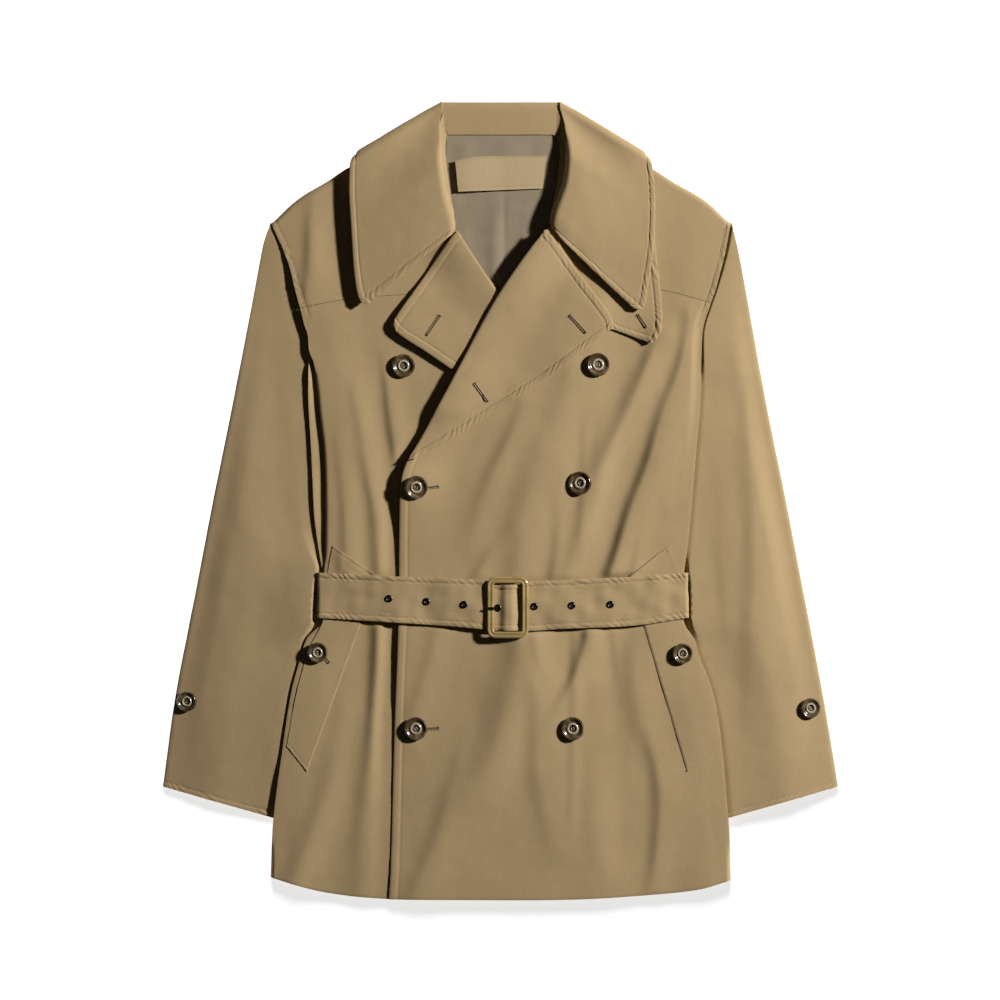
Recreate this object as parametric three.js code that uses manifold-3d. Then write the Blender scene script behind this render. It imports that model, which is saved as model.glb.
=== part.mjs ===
// A short double-breasted trench coat, laid flat on its back with its belt buckled.
// Units are millimetres. +Z is up from the table, +Y runs from the hem to the collar.
// "Left" and "right" are the wearer's: the left front lies on top and is on the +X side.
// Each cloth piece is a box grid, bent to an outer surface and given the cloth's thickness.
import * as THREE from "three";
import Module from "manifold-3d";

// Driving sizes of the coat.
const COAT_LENGTH = 831.4; // from the collar's top fold to the hem
const CUFF_SPAN = 702; // across both cuffs
const SHELL = 1.4; // shell cloth with its lining
const DOUBLE = 2.0; // collar, lapels and belt, with interlining
const THIN = 1.0; // lining and neck tab
const GAP = 0.6; // between pieces at a seam, and between layers
const BUTTON_RADIUS = 11.4;
const SMALL_BUTTON_RADIUS = 10;
const BUTTON_HEIGHT = 4.2;
const HALF_LENGTH = COAT_LENGTH / 2;
const HALF_SPAN = CUFF_SPAN / 2;

// Heights of the layers' outer surfaces above the table.
const RIGHT_FRONT_Z = 6.4; // right front, away from its edges
const LEFT_FRONT_Z = 8.7; // left front, where it lies on the right one
const LEFT_ALONE_Z = 6.8; // left front, past the right one's hidden edge
const SIDE_Z = 9.3; // both fronts, just inside the side folds
const SIDE_UNDER_BELT_Z = 9.25; // the same, below the belt
const ARMHOLE_Z = 7.6; // both fronts, along the armholes
const SLEEVE_LIFT = 3.5; // the back's rise over the sleeve tucked below it
const BELT_LIFT = 2.3; // the back's rise over the belt
const COLLAR_LIFT = 2.5; // the back's rise over the collar behind it
const SIDE_ROLL = 9; // how wide the rounding of the side folds is
const BELT_MID_Y = -98.5;

// The body's side folds and armholes, from the hem up.
const RIGHT_SIDE = [
  { y: -392, x: -239.4 }, { y: -330, x: -236 }, { y: -247, x: -225 }, { y: -197, x: -217 },
  { y: -161, x: -207 }, { y: -143, x: -201 }, { y: -134, x: -192 }, { y: -127, x: -185.8 },
  { y: -98, x: -184 }, { y: -75, x: -183 }, { y: 19, x: -182 }, { y: 96, x: -185 }, { y: 125, x: -192 },
  { y: 150, x: -199 }, { y: 197, x: -204 }, { y: 241, x: -218 }, { y: 261, x: -226 },
  { y: 288, x: -238.5 },
];
const LEFT_SIDE = [
  { y: -395, x: 239.8 }, { y: -331, x: 237 }, { y: -244, x: 229 }, { y: -197, x: 220 },
  { y: -161, x: 206.5 }, { y: -145, x: 202 }, { y: -127, x: 191 }, { y: -98, x: 189.5 },
  { y: -75, x: 191 }, { y: -35, x: 196 }, { y: 51, x: 203.5 }, { y: 106, x: 208 },
  { y: 150, x: 209 }, { y: 180, x: 211 }, { y: 222, x: 224.5 }, { y: 258, x: 233.8 },
  { y: 288, x: 239.5 },
];

// The front edges, from the hem to the break, then the roll lines up to the gorge.
const LEFT_EDGE = [
  { y: -415.4, x: -116 }, { y: -383, x: -114 }, { y: -239, x: -110 }, { y: -129, x: -106 },
  { y: 0, x: -104.5 }, { y: 25, x: -102 }, { y: 42, x: -96 }, { y: 65, x: -82.5 },
  { y: 133, x: -46 }, { y: 207, x: -6 }, { y: 250, x: 23 }, { y: 283, x: 48 },
];
const RIGHT_EDGE = [
  { y: -415.4, x: 80 }, { y: -239, x: 84 }, { y: 14, x: 88 }, { y: 42, x: 80 },
  { y: 133, x: 44 }, { y: 207, x: 4 }, { y: 250, x: -25 }, { y: 283, x: -46 },
];

// How far each front is raised along its edge and roll line.
const LEFT_ROLL_RISE = [
  { y: -415, rise: 0 }, { y: -70, rise: 0.2 }, { y: -25, rise: 4 }, { y: 14, rise: 7.4 },
  { y: 60, rise: 8.8 }, { y: 220, rise: 8.4 }, { y: 275, rise: 6 }, { y: 310, rise: 3.6 },
  { y: 345, rise: 1.4 }, { y: 386, rise: 0 },
];
const RIGHT_ROLL_RISE = [
  { y: -415, rise: 0 }, { y: 180, rise: 0 }, { y: 221, rise: 3.6 }, { y: 250, rise: 5.4 },
  { y: 280, rise: 6 }, { y: 310, rise: 3.6 }, { y: 345, rise: 1.4 }, { y: 386, rise: 0 },
];
const ROLL_WIDTH = 60;

const HEM = [
  [-239.4, -392], [-184, -407.5], [-120, -414.6], [-40, -415.7], [70, -415.4], [150, -411],
  [205, -405], [239.8, -395],
];
const RIGHT_SHOULDER = [[-66, 386], [-110, 367], [-159, 346], [-179, 333], [-213, 312], [-238.5, 288]];
const LEFT_SHOULDER = [[66, 386], [110, 367], [156, 346], [179, 332], [213, 312], [239.5, 288]];

// Folds are uneven ridges: each runs from y0 to y1 along a bent line through x0, xm and x1.
// left and right are its two flanks' widths, and h0, hm and h1 its heights along the way.
const LEFT_FOLDS = [
  { y0: 172, y1: -92, x0: 196, xm: 155, x1: 114, left: 9, right: 20, h0: 2.4, hm: 4.5, h1: 8 },
  { y0: 168, y1: 20, x0: 165, xm: 134, x1: 106, left: 10, right: 15, h0: 3.4, hm: 5, h1: 1.5 },
  { y0: 120, y1: -80, x0: 84, xm: 47, x1: 26, left: 19, right: 26, h0: 2, hm: 5, h1: 5.5 },
  { y0: 96, y1: -20, x0: 24, xm: -4, x1: -22, left: 14, right: 22, h0: 2, hm: 3.5, h1: 1.5 },
  { y0: -118, y1: -235, x0: 96, xm: 84, x1: 58, left: 8, right: 22, h0: 6, hm: 5, h1: 1.5 },
  { y0: -132, y1: -415, x0: 16, xm: -22, x1: -72, left: 17, right: 36, h0: 3, hm: 6, h1: 3.5 },
  { y0: -160, y1: -405, x0: 26, xm: 44, x1: 88, left: 13, right: 30, h0: 1.5, hm: 5, h1: 2.5 },
  { y0: -156, y1: -405, x0: 156, xm: 164, x1: 176, left: 15, right: 26, h0: 1.5, hm: 5.5, h1: 3 },
];
const RIGHT_FOLDS = [
  { y0: 130, y1: 20, x0: -118, xm: -110, x1: -104, left: 7, right: 12, h0: 1, hm: 3.4, h1: 2 },
  { y0: 90, y1: -88, x0: -148, xm: -130, x1: -118, left: 9, right: 15, h0: 1.5, hm: 4, h1: 5 },
  { y0: -112, y1: -400, x0: -116, xm: -128, x1: -136, left: 8, right: 13, h0: 6, hm: 7, h1: 2.5 },
  { y0: -200, y1: -400, x0: -158, xm: -176, x1: -214, left: 14, right: 20, h0: 1, hm: 4.5, h1: 2.5 },
];
const LEFT_SLEEVE_FOLDS = [
  { y0: 240, y1: -290, x0: 236, xm: 266, x1: 250, left: 18, right: 30, h0: 1, hm: 4, h1: 1 },
  { y0: 60, y1: -320, x0: 282, xm: 296, x1: 300, left: 20, right: 26, h0: 0.5, hm: 2.4, h1: 1 },
];
const RIGHT_SLEEVE_FOLDS = [
  { y0: 220, y1: -280, x0: -236, xm: -262, x1: -268, left: 20, right: 30, h0: 1, hm: 3.2, h1: 1 },
  { y0: 20, y1: -310, x0: -284, xm: -300, x1: -308, left: 16, right: 24, h0: 0.5, hm: 2.2, h1: 1 },
];

const CLOTH = new THREE.MeshStandardMaterial({ color: 0xac936e, roughness: 0.82, metalness: 0 });
const LINING = new THREE.MeshStandardMaterial({ color: 0x8b7d66, roughness: 0.6, metalness: 0 });
const HORN = new THREE.MeshStandardMaterial({ color: 0x3b2a1c, roughness: 0.22, metalness: 0 });
const BUCKLE_FINISH = new THREE.MeshStandardMaterial({ color: 0x8a7448, roughness: 0.35, metalness: 0 });
const DARK_METAL = new THREE.MeshStandardMaterial({ color: 0x2e2c2a, roughness: 0.3, metalness: 1 });

const coat = new THREE.Group();

const mix = (a, b, t) => a + (b - a) * t;
const clamp01 = (t) => Math.min(1, Math.max(0, t));

function smooth(low, high, value) {
  const t = clamp01((value - low) / (high - low));
  return t * t * (3 - 2 * t);
}

// A column of a table, read smoothly at any place along another column, which is y if not named.
function column(rows, key, by = "y") {
  const values = rows.map((row) => row[key]);
  const places = rows.map((row) => row[by]);
  const slope = (i) => {
    const a = Math.max(0, i - 1);
    const b = Math.min(rows.length - 1, i + 1);
    return (values[b] - values[a]) / (places[b] - places[a]);
  };
  return (place) => {
    const held = Math.min(places[rows.length - 1], Math.max(places[0], place));
    let i = 0;
    while (i < rows.length - 2 && held > places[i + 1]) i += 1;
    const span = places[i + 1] - places[i];
    const t = (held - places[i]) / span;
    const rest = 1 - t;
    const ends = values[i] * rest * rest * (1 + 2 * t) + values[i + 1] * t * t * (3 - 2 * t);
    return ends + span * t * rest * (slope(i) * rest - slope(i + 1) * t);
  };
}

// A smooth plan line through points, read from 0 to 1 by its length.
function line(points) {
  const reach = [0];
  for (let i = 1; i < points.length; i += 1) {
    const [x0, y0] = points[i - 1];
    const [x1, y1] = points[i];
    reach.push(reach[i - 1] + Math.hypot(x1 - x0, y1 - y0));
  }
  const rows = points.map(([x, y], i) => ({ share: reach[i] / reach[points.length - 1], x, y }));
  const atX = column(rows, "x", "share");
  const atY = column(rows, "y", "share");
  return (t) => [atX(t), atY(t)];
}

// A plan patch between four lines that share their corners. The bends of the bottom and top lines
// fade out inside the patch, the sooner the higher the power.
function patch(bottom, right, top, left, power = 1) {
  const [low, high] = [straight(bottom(0), bottom(1)), straight(top(0), top(1))];
  return (u, v) =>
    [0, 1].map((k) => {
      const across = mix(left(v)[k], right(v)[k], u);
      const bent = (bottom(u)[k] - low(u)[k]) * (1 - v) ** power + (top(u)[k] - high(u)[k]) * v ** power;
      return across + bent;
    });
}

const straight = (a, b) => (t) => [mix(a[0], b[0], t), mix(a[1], b[1], t)];

// Part of a side or edge table as a plan line.
function edgeLine(rows, low, high) {
  const at = column(rows, "x");
  const inside = rows.filter((row) => row.y > low + 1 && row.y < high - 1).map((row) => row.y);
  return line([low, ...inside, high].map((y) => [at(y), y]));
}

// The grid lines of a piece, from 0 to 1: at even steps, or at chosen places.
const evenly = (count) => Array.from({ length: count + 1 }, (_, i) => i / count);
const placed = (places) => places.map((p) => (p - places[0]) / (places[places.length - 1] - places[0]));

// Turns a geometry's faces outwards if they point in.
function faceOut(geometry) {
  const place = geometry.attributes.position;
  const corner = [0, 1, 2].map(() => new THREE.Vector3());
  const index = geometry.index.array;
  let volume = 0;
  for (let i = 0; i < index.length; i += 3) {
    corner.forEach((c, k) => c.fromBufferAttribute(place, index[i + k]));
    volume += corner[0].dot(corner[1].clone().cross(corner[2]));
  }
  if (volume < 0) {
    for (let i = 0; i < index.length; i += 3) [index[i], index[i + 1]] = [index[i + 1], index[i]];
  }
  return geometry;
}

function add(name, geometry, material) {
  const mesh = new THREE.Mesh(geometry, material.clone());
  mesh.name = name;
  coat.add(mesh);
  return mesh;
}

// The outward normal of surface(u, v); side is 1 or -1.
function normalOf(surface, u, v, side) {
  const step = 0.002;
  const alongU = surface(Math.min(1, u + step), v).sub(surface(Math.max(0, u - step), v));
  const alongV = surface(u, Math.min(1, v + step)).sub(surface(u, Math.max(0, v - step)));
  return alongU.cross(alongV).normalize().multiplyScalar(side);
}

// Gives a box's inner face the same diagonals as its outer face, so that the two stay parallel.
function matchDiagonals(geometry) {
  const index = geometry.index.array;
  const { start, count } = geometry.groups[5];
  for (let i = start; i < start + count; i += 6) {
    const [a, b, d, , c] = index.slice(i, i + 5);
    index.set([a, b, c, a, c, d], i);
  }
}

// One piece of cloth: a box grid bent to surface(u, v), with its inner face a thickness inside.
function cloth(name, { across, along, surface, thickness, side = 1, material = CLOTH }) {
  const [columns, rows] = [across.length - 1, along.length - 1];
  const geometry = new THREE.BoxGeometry(1, 1, 1, columns, rows, 1);
  matchDiagonals(geometry);
  const place = geometry.attributes.position;
  for (let i = 0; i < place.count; i += 1) {
    const u = across[Math.round((place.getX(i) + 0.5) * columns)];
    const v = along[Math.round((place.getY(i) + 0.5) * rows)];
    const point = surface(u, v);
    if (place.getZ(i) < 0) point.addScaledVector(normalOf(surface, u, v, side), -thickness);
    place.setXYZ(i, point.x, point.y, point.z);
  }
  geometry.deleteAttribute("normal");
  geometry.deleteAttribute("uv");
  return add(name, faceOut(geometry), material);
}

// A surface from a plan patch and a height at each plan point.
const draped = (plan, height) => (u, v) => {
  const [x, y] = plan(u, v);
  return new THREE.Vector3(x, y, height(x, y, u, v));
};

const rightSideX = column(RIGHT_SIDE, "x");
const leftSideX = column(LEFT_SIDE, "x");
const leftEdgeX = column(LEFT_EDGE, "x");
const rightEdgeX = column(RIGHT_EDGE, "x");
const leftRollRise = column(LEFT_ROLL_RISE, "rise");
const rightRollRise = column(RIGHT_ROLL_RISE, "rise");

// How far inside the nearer side fold a plan point is.
const insideSide = (x, y) => (x < 0 ? x - rightSideX(y) : leftSideX(y) - x);

const beltBand = (y, flat, out) => 1 - smooth(flat, out, Math.abs(y - BELT_MID_Y));

// The rise of everything that lies over the tucked-under part of a sleeve.
function sleeveRise(x, y) {
  const across = 1 - smooth(32, 58, insideSide(x, y));
  return SLEEVE_LIFT * across * (1 - smooth(121, 154, y)) * smooth(-385, -350, y);
}

function backUnderside(x, y) {
  const belt = BELT_LIFT * beltBand(y, 27, 52);
  const collar = COLLAR_LIFT * smooth(258, 330, y) * (1 - smooth(158, 190, Math.abs(x)));
  return sleeveRise(x, y) + belt + collar;
}

const backTop = (x, y) => backUnderside(x, y) + SHELL;

// How low the outer surface of a piece may come where it meets the back at a side or shoulder.
const restingOnBack = (x, y) => backTop(x, y) + 0.35 + SHELL;

// The height of a row of folds at a plan point.
function foldHeight(folds, x, y) {
  return folds.reduce((sum, fold) => {
    const t = (y - fold.y0) / (fold.y1 - fold.y0);
    const held = clamp01(t);
    const bend = (a, m, b) => {
      const pull = 2 * m - (a + b) / 2;
      return a * (1 - held) ** 2 + pull * 2 * held * (1 - held) + b * held ** 2;
    };
    const off = x - bend(fold.x0, fold.xm, fold.x1);
    const width = off < 0 ? fold.left : fold.right;
    const past = Math.abs(t - held) * Math.abs(fold.y1 - fold.y0);
    const fade = 1 - smooth(0, 26, past);
    return sum + bend(fold.h0, fold.hm, fold.h1) * Math.exp(-((off / width) ** 2)) * fade;
  }, 0);
}

// The quarter-round of a side fold: 0 at the edge, 1 from SIDE_ROLL inwards.
const rounding = (inside, width) => Math.sqrt(1 - (1 - clamp01(inside / width)) ** 2);

// Takes a front's height down round its side fold, or leaves it up along the armhole.
function rolledDown(x, y, height) {
  const inside = insideSide(x, y);
  const rolled = mix(restingOnBack(x, y), height, rounding(inside, SIDE_ROLL));
  return mix(rolled, height, smooth(128, 165, y));
}

// The fronts' height along their sides, lower under the belt and at the armholes.
function sideHeight(y) {
  const open = mix(SIDE_Z, SIDE_UNDER_BELT_Z, beltBand(y, 24, 46));
  return mix(open, ARMHOLE_Z, smooth(110, 190, y));
}

function rightFrontHeight(x, y) {
  const inside = insideSide(x, y);
  const base = mix(sideHeight(y), RIGHT_FRONT_Z, smooth(20, 70, inside));
  const roll = rightRollRise(y) * (1 - smooth(0, ROLL_WIDTH, rightEdgeX(y) - x));
  const shown = 1 - smooth(leftEdgeX(y) - 22, leftEdgeX(y) - 6, x);
  const quiet = (1 - 0.75 * beltBand(y, 28, 44)) * smooth(4, 16, inside) * shown;
  return rolledDown(x, y, base + roll + foldHeight(RIGHT_FOLDS, x, y) * quiet);
}

function leftFrontHeight(x, y) {
  const inside = insideSide(x, y);
  const middle = mix(LEFT_FRONT_Z, LEFT_ALONE_Z, smooth(92, 128, x));
  const base = mix(sideHeight(y), middle, smooth(20, 68, inside));
  const roll = leftRollRise(y) * (1 - smooth(0, ROLL_WIDTH, x - leftEdgeX(y)));
  const quiet = (1 - 0.75 * beltBand(y, 28, 44)) * smooth(4, 16, inside);
  return rolledDown(x, y, base + roll + foldHeight(LEFT_FOLDS, x, y) * quiet);
}

// The height that a covering layer rests at: the highest of the surface around the point.
const NEARBY = [[0, 0], [-5, 0], [5, 0], [0, -6], [0, 6]];
const bridging = (height) => (x, y) => Math.max(...NEARBY.map(([dx, dy]) => height(x + dx, y + dy)));
const overRightFront = bridging(rightFrontHeight);
const overLeftFront = bridging(leftFrontHeight);

// Rounds a yoke's shoulder edge down to the back below it.
function yokeHeight(front) {
  return (x, y, u, v) => {
    const fromShoulder = (1 - v) * 130;
    return mix(restingOnBack(x, y), front(x, y), rounding(fromShoulder, 8));
  };
}

// The back, from the hem to the shoulders and neck.
const neckEdge = [[-66, 386], [-58, 380], [-50, 379.4], [42, 379.4], [52, 380], [66, 386]];
cloth("back", {
  across: placed([0, 10, 24, 38, 56, 90, 135, 179, 195, 237, 278, 301, 345, 390, 424, 442, 456, 470, 480]),
  along: placed([
    -392, -366, -340, -290, -235, -185, -152, -130, -98, -72, -46, 10, 70, 114, 133, 152, 190, 222,
    246, 268, 280, 288,
  ]),
  thickness: SHELL, side: -1,
  surface: draped(
    patch(
      line(HEM),
      edgeLine(LEFT_SIDE, -395, 288),
      line([...RIGHT_SHOULDER].reverse().concat(neckEdge.slice(1, -1), LEFT_SHOULDER)),
      edgeLine(RIGHT_SIDE, -392, 288),
      3,
    ),
    backUnderside,
  ),
});

cloth("back_lining", {
  across: evenly(4), along: placed([186, 230, 270, 295, 312, 330, 355, 378]),
  thickness: THIN, material: LINING,
  surface: draped(
    patch(
      straight([-60, 186], [62, 186]),
      straight([62, 186], [54, 377]),
      straight([-56, 377], [54, 377]),
      straight([-60, 186], [-56, 377]),
    ),
    (x, y) => backTop(x, y) + 0.8 + THIN,
  ),
});

cloth("neck_tab", {
  across: evenly(4), along: evenly(2), thickness: THIN,
  surface: draped(
    patch(
      straight([-44, 321], [44, 324.5]),
      straight([44, 324.5], [48, 358.5]),
      line([[-47, 353], [-20, 357.5], [48, 358.5]]),
      straight([-44, 321], [-47, 353]),
    ),
    (x, y) => backTop(x, y) + 2.9 + THIN + 0.8 * (1 - (x / 48) ** 2),
  ),
});

// The fronts below the yoke seams.
const rightYokeSeam = line([[-204.4, 200], [-160, 209], [-100, 214], [-1, 216]]);
const leftYokeSeam = line([[12, 234], [100, 226], [167, 219], [219.5, 205.5]]);
const FRONT_ROWS = placed([
  -405, -378, -345, -310, -275, -240, -205, -175, -150, -130, -98, -68, -46, -16, 16, 46, 75, 104,
  130, 160, 188, 212,
]);
const hemPart = (from, to) => {
  const middle = HEM.filter(([x]) => x > from[0] + 8 && x < to[0] - 8);
  return line([from, ...middle, to]);
};
cloth("front_right", {
  across: placed([0, 4, 9, 17, 28, 42, 56, 68, 78, 88, 98, 108, 118, 130, 150, 200, 260, 320]),
  along: FRONT_ROWS, thickness: SHELL,
  surface: draped(
    patch(
      hemPart([-239.4, -392], [80, -415]),
      edgeLine(RIGHT_EDGE, -415, 216),
      rightYokeSeam,
      edgeLine(RIGHT_SIDE, -392, 200),
      3,
    ),
    rightFrontHeight,
  ),
});
cloth("front_left", {
  across: placed([
    0, 4, 13, 27, 42, 58, 74, 90, 106, 120, 135, 150, 165, 180, 195, 212, 235, 262, 290, 315, 333,
    345, 351, 356,
  ]),
  along: FRONT_ROWS, thickness: SHELL,
  surface: draped(
    patch(
      hemPart([-116, -415], [239.8, -395]),
      edgeLine(LEFT_SIDE, -395, 205.5),
      leftYokeSeam,
      edgeLine(LEFT_EDGE, -415, 234),
      3,
    ),
    leftFrontHeight,
  ),
});

// The front yokes, from the yoke seams to the shoulders.
const SEAM_CLEARANCE = 0.45;
const lifted = (curve) => (t) => [curve(t)[0], curve(t)[1] + GAP + SEAM_CLEARANCE];
cloth("yoke_right", {
  across: placed([0, 9, 28, 42, 56, 78, 98, 118, 150, 200, 260, 320]),
  along: placed([0, 14, 30, 44, 58, 70, 80, 88]),
  thickness: SHELL,
  surface: draped(
    patch(
      lifted(rightYokeSeam),
      line([[-1, 216.4], [-25, 250], [-46, 281], [-63, 296], [-76, 322], [-76, 352], [-66, 386]]),
      line([...RIGHT_SHOULDER].reverse()),
      edgeLine(RIGHT_SIDE, 200.4, 288),
    ),
    yokeHeight(rightFrontHeight),
  ),
});
cloth("yoke_left", {
  across: placed([0, 13, 42, 74, 106, 150, 195, 235, 262, 290, 315, 333, 345, 356]),
  along: placed([0, 14, 30, 44, 58, 70, 80, 88]),
  thickness: SHELL,
  surface: draped(
    patch(
      lifted(leftYokeSeam),
      edgeLine(LEFT_SIDE, 205.9, 288),
      line(LEFT_SHOULDER),
      line([[12, 234.4], [23, 250], [48, 281], [66, 294], [82, 320], [80, 352], [66, 386]]),
    ),
    yokeHeight(leftFrontHeight),
  ),
});

// The lapels, folded back over the fronts along the roll lines.
const nearness = (x, y, point, reach) => 1 - smooth(0, reach, Math.hypot(x - point[0], y - point[1]));
const LEFT_TIP = [116, 183];
const RIGHT_TIP = [-110, 181];

function leftLapelHeight(x, y) {
  const rollEdge = rounding(x - leftEdgeX(y) + 0.4, 4);
  const over = GAP + DOUBLE + 0.25 + 4.2 * nearness(x, y, LEFT_TIP, 85);
  return overLeftFront(x, y) + mix(0.3 + DOUBLE * 0.6, over, rollEdge);
}
function rightLapelHeight(x, y) {
  const rollEdge = rounding(rightEdgeX(y) - x + 0.4, 4);
  const over = GAP + DOUBLE + 0.25 + 4.6 * nearness(x, y, RIGHT_TIP, 80);
  return overRightFront(x, y) + mix(0.3 + DOUBLE * 0.6, over, rollEdge);
}

cloth("lapel_left", {
  across: placed([0, 3, 12, 30, 55, 80, 105, 125, 140]), along: evenly(12), thickness: DOUBLE - 0.2,
  surface: draped(
    patch(
      straight([-95.4, 42.6], [-88, 43.2]),
      line([[-88, 43.2], [-41, 69], [-9, 90], [24, 111], [59, 135], [94, 162], [117, 179]]),
      line([[47.4, 281], [56, 272.4], [86, 231], [114.5, 192], [117, 179]]),
      edgeLine(LEFT_EDGE, 43, 281),
    ),
    leftLapelHeight,
  ),
});
cloth("lapel_right", {
  across: placed([0, 3, 12, 28, 48, 70, 90]), along: evenly(9), thickness: DOUBLE - 0.2, side: -1,
  surface: draped(
    patch(
      straight([10, 196], [-34, 127]),
      line([[-34, 127], [-47, 134], [-78, 155], [-107, 174], [-111.5, 182]]),
      line([[-44.8, 280], [-52, 272.4], [-82, 229], [-109, 190], [-111.5, 182]]),
      edgeLine(RIGHT_EDGE, 196, 280),
    ),
    rightLapelHeight,
  ),
});

// The storm flap on the left chest, under the collar and the lapel's tip.
cloth("storm_flap", {
  across: evenly(4), along: evenly(9), thickness: DOUBLE - 0.6,
  surface: draped(
    patch(
      line([[104, 181], [118, 177.5], [156, 164], [161, 165]]),
      line([[161, 165], [167.5, 179], [167.5, 204], [162, 258], [158, 322]]),
      straight([108, 340], [158, 322]),
      straight([104, 181], [108, 340]),
    ),
    (x, y) => overLeftFront(x, y) + GAP + DOUBLE - 0.4 + 1.4 * nearness(x, y, [162, 166], 60),
  ),
});

// The collar: a stand round the neck, and a fall in three nodes that folds over the shoulders.
const STAND = [
  { sx: -49.2, sy: 297, sz: 9.5, rx: -50, ry: 296, rz: 13.2 },
  { sx: -53, sy: 320, sz: 8.6, rx: -55.5, ry: 321, rz: 12.4 },
  { sx: -57.3, sy: 352, sz: 7.2, rx: -60, ry: 358, rz: 11.4 },
  { sx: -57.5, sy: 374, sz: 5.4, rx: -61.5, ry: 386, rz: 8.6 },
  { sx: -54, sy: 381.6, sz: 4.4, rx: -59, ry: 404, rz: 5.2 },
  { sx: -44, sy: 382.6, sz: 3.7, rx: -48, ry: 407.4, rz: 4.1 },
  { sx: 0, sy: 382.6, sz: 3.6, rx: 0, ry: 407.4, rz: 4.1 },
  { sx: 40, sy: 382.6, sz: 3.7, rx: 48, ry: 407.4, rz: 4.1 },
  { sx: 52, sy: 381.6, sz: 4.4, rx: 59.5, ry: 404, rz: 5.2 },
  { sx: 60, sy: 374, sz: 5.4, rx: 64.5, ry: 386, rz: 8.6 },
  { sx: 62, sy: 352, sz: 7.2, rx: 66, ry: 358, rz: 11.4 },
  { sx: 57.5, sy: 320, sz: 8.6, rx: 60, ry: 321, rz: 12.4 },
  { sx: 52.7, sy: 297, sz: 9.5, rx: 53.5, ry: 296, rz: 13.2 },
];
const standRows = STAND.map((row, i) => ({ ...row, share: i / (STAND.length - 1) }));
const standAt = Object.fromEntries(
  ["sx", "sy", "sz", "rx", "ry", "rz"].map((key) => [key, column(standRows, key, "share")]),
);
function standPoint(u, v) {
  const seam = new THREE.Vector3(standAt.sx(u), standAt.sy(u), standAt.sz(u));
  const roll = new THREE.Vector3(standAt.rx(u), standAt.ry(u), standAt.rz(u));
  return seam.lerp(roll, v);
}
cloth("collar_stand", {
  across: evenly(30), along: evenly(2), surface: standPoint, thickness: DOUBLE - 0.2, side: -1,
});

// The fold lines over the shoulders, moved in by the fold's own bulge.
const LEAF = {
  right: {
    roll: [[-50, 276], [-46.5, 286], [-55, 320], [-61, 358], [-63, 388], [-61, 408.5]],
    outer: [[-139, 203], [-146, 208], [-151, 231], [-155, 285], [-154.5, 330], [-149, 350]],
    lower: [[-50, 276], [-92, 242], [-124, 214], [-139, 203]],
    bulge: [-0.545, 0.838],
  },
  left: {
    roll: [[57, 276.6], [51, 290], [64, 330], [68, 361], [67, 388], [62, 408.5]],
    outer: [[139, 199], [148, 199], [153, 222], [159, 263], [159, 318], [146, 350]],
    lower: [[57, 276.6], [93, 242], [115, 221], [139, 199]],
    bulge: [0.545, 0.838],
  },
};
const FLAT_SHARE = 2 / 3; // the share of a leaf's grid that lies on the front
const FOLD_TOP = { neck: 8.6, shoulder: 17.5 };
const FOLD_BULGE = { neck: 6.5, shoulder: 9.4 };

function leafHeight(u, v) {
  const crest = 22 - 3.6 * smooth(0.15, 1, u);
  const foldTop = mix(FOLD_TOP.neck, FOLD_TOP.shoulder, smooth(0, 0.85, u));
  const flat = mix(crest - 0.8 * (1 - v), foldTop, smooth(0.5, 1, v));
  const rolled = mix(Math.min(14.6, flat - 1), flat, rounding(u, 0.07));
  return mix(rolled, flat, smooth(0.82, 1, v));
}

function leaf(name, { roll, outer, lower, bulge }, side) {
  const fold = straight(roll[roll.length - 1], outer[outer.length - 1]);
  const plan = patch(line(lower), line(outer), fold, line(roll));
  const surface = (u, v) => {
    const flat = Math.min(1, v / FLAT_SHARE);
    const [x, y] = plan(u, flat);
    const top = leafHeight(u, flat);
    const turn = clamp01((v - FLAT_SHARE) / (1 - FLAT_SHARE)) * Math.PI;
    const out = mix(FOLD_BULGE.neck, FOLD_BULGE.shoulder, u) * Math.sin(turn);
    return new THREE.Vector3(x + bulge[0] * out, y + bulge[1] * out, (top / 2) * (1 + Math.cos(turn)));
  };
  cloth(name, {
    across: placed([0, 2, 6, 16, 36, 60, 82, 92]), along: evenly(15), surface, thickness: DOUBLE, side,
  });
}
leaf("collar_leaf_right", LEAF.right, -1);
leaf("collar_leaf_left", LEAF.left, 1);

cloth("collar_back", {
  across: evenly(6), along: evenly(2), thickness: DOUBLE, side: -1,
  surface: draped(
    patch(
      line([[-147.5, 349.2], [-90, 343], [88, 343], [144.5, 349.2]]),
      straight([144.5, 349.2], [60.5, 407.6]),
      straight([-59.5, 407.6], [60.5, 407.6]),
      straight([-147.5, 349.2], [-59.5, 407.6]),
    ),
    () => 0,
  ),
});

// The collar's top fold behind the neck, between the stand and the fall.
cloth("collar_fold", {
  across: evenly(4), along: evenly(6), thickness: DOUBLE - 0.4,
  surface: (u, v) => {
    const turn = v * Math.PI;
    const lift = 2.95 * (1 + Math.cos(turn));
    return new THREE.Vector3(mix(-59, 60, u), 408.4 + (HALF_LENGTH - 408.4) * Math.sin(turn), lift);
  },
});

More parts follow.
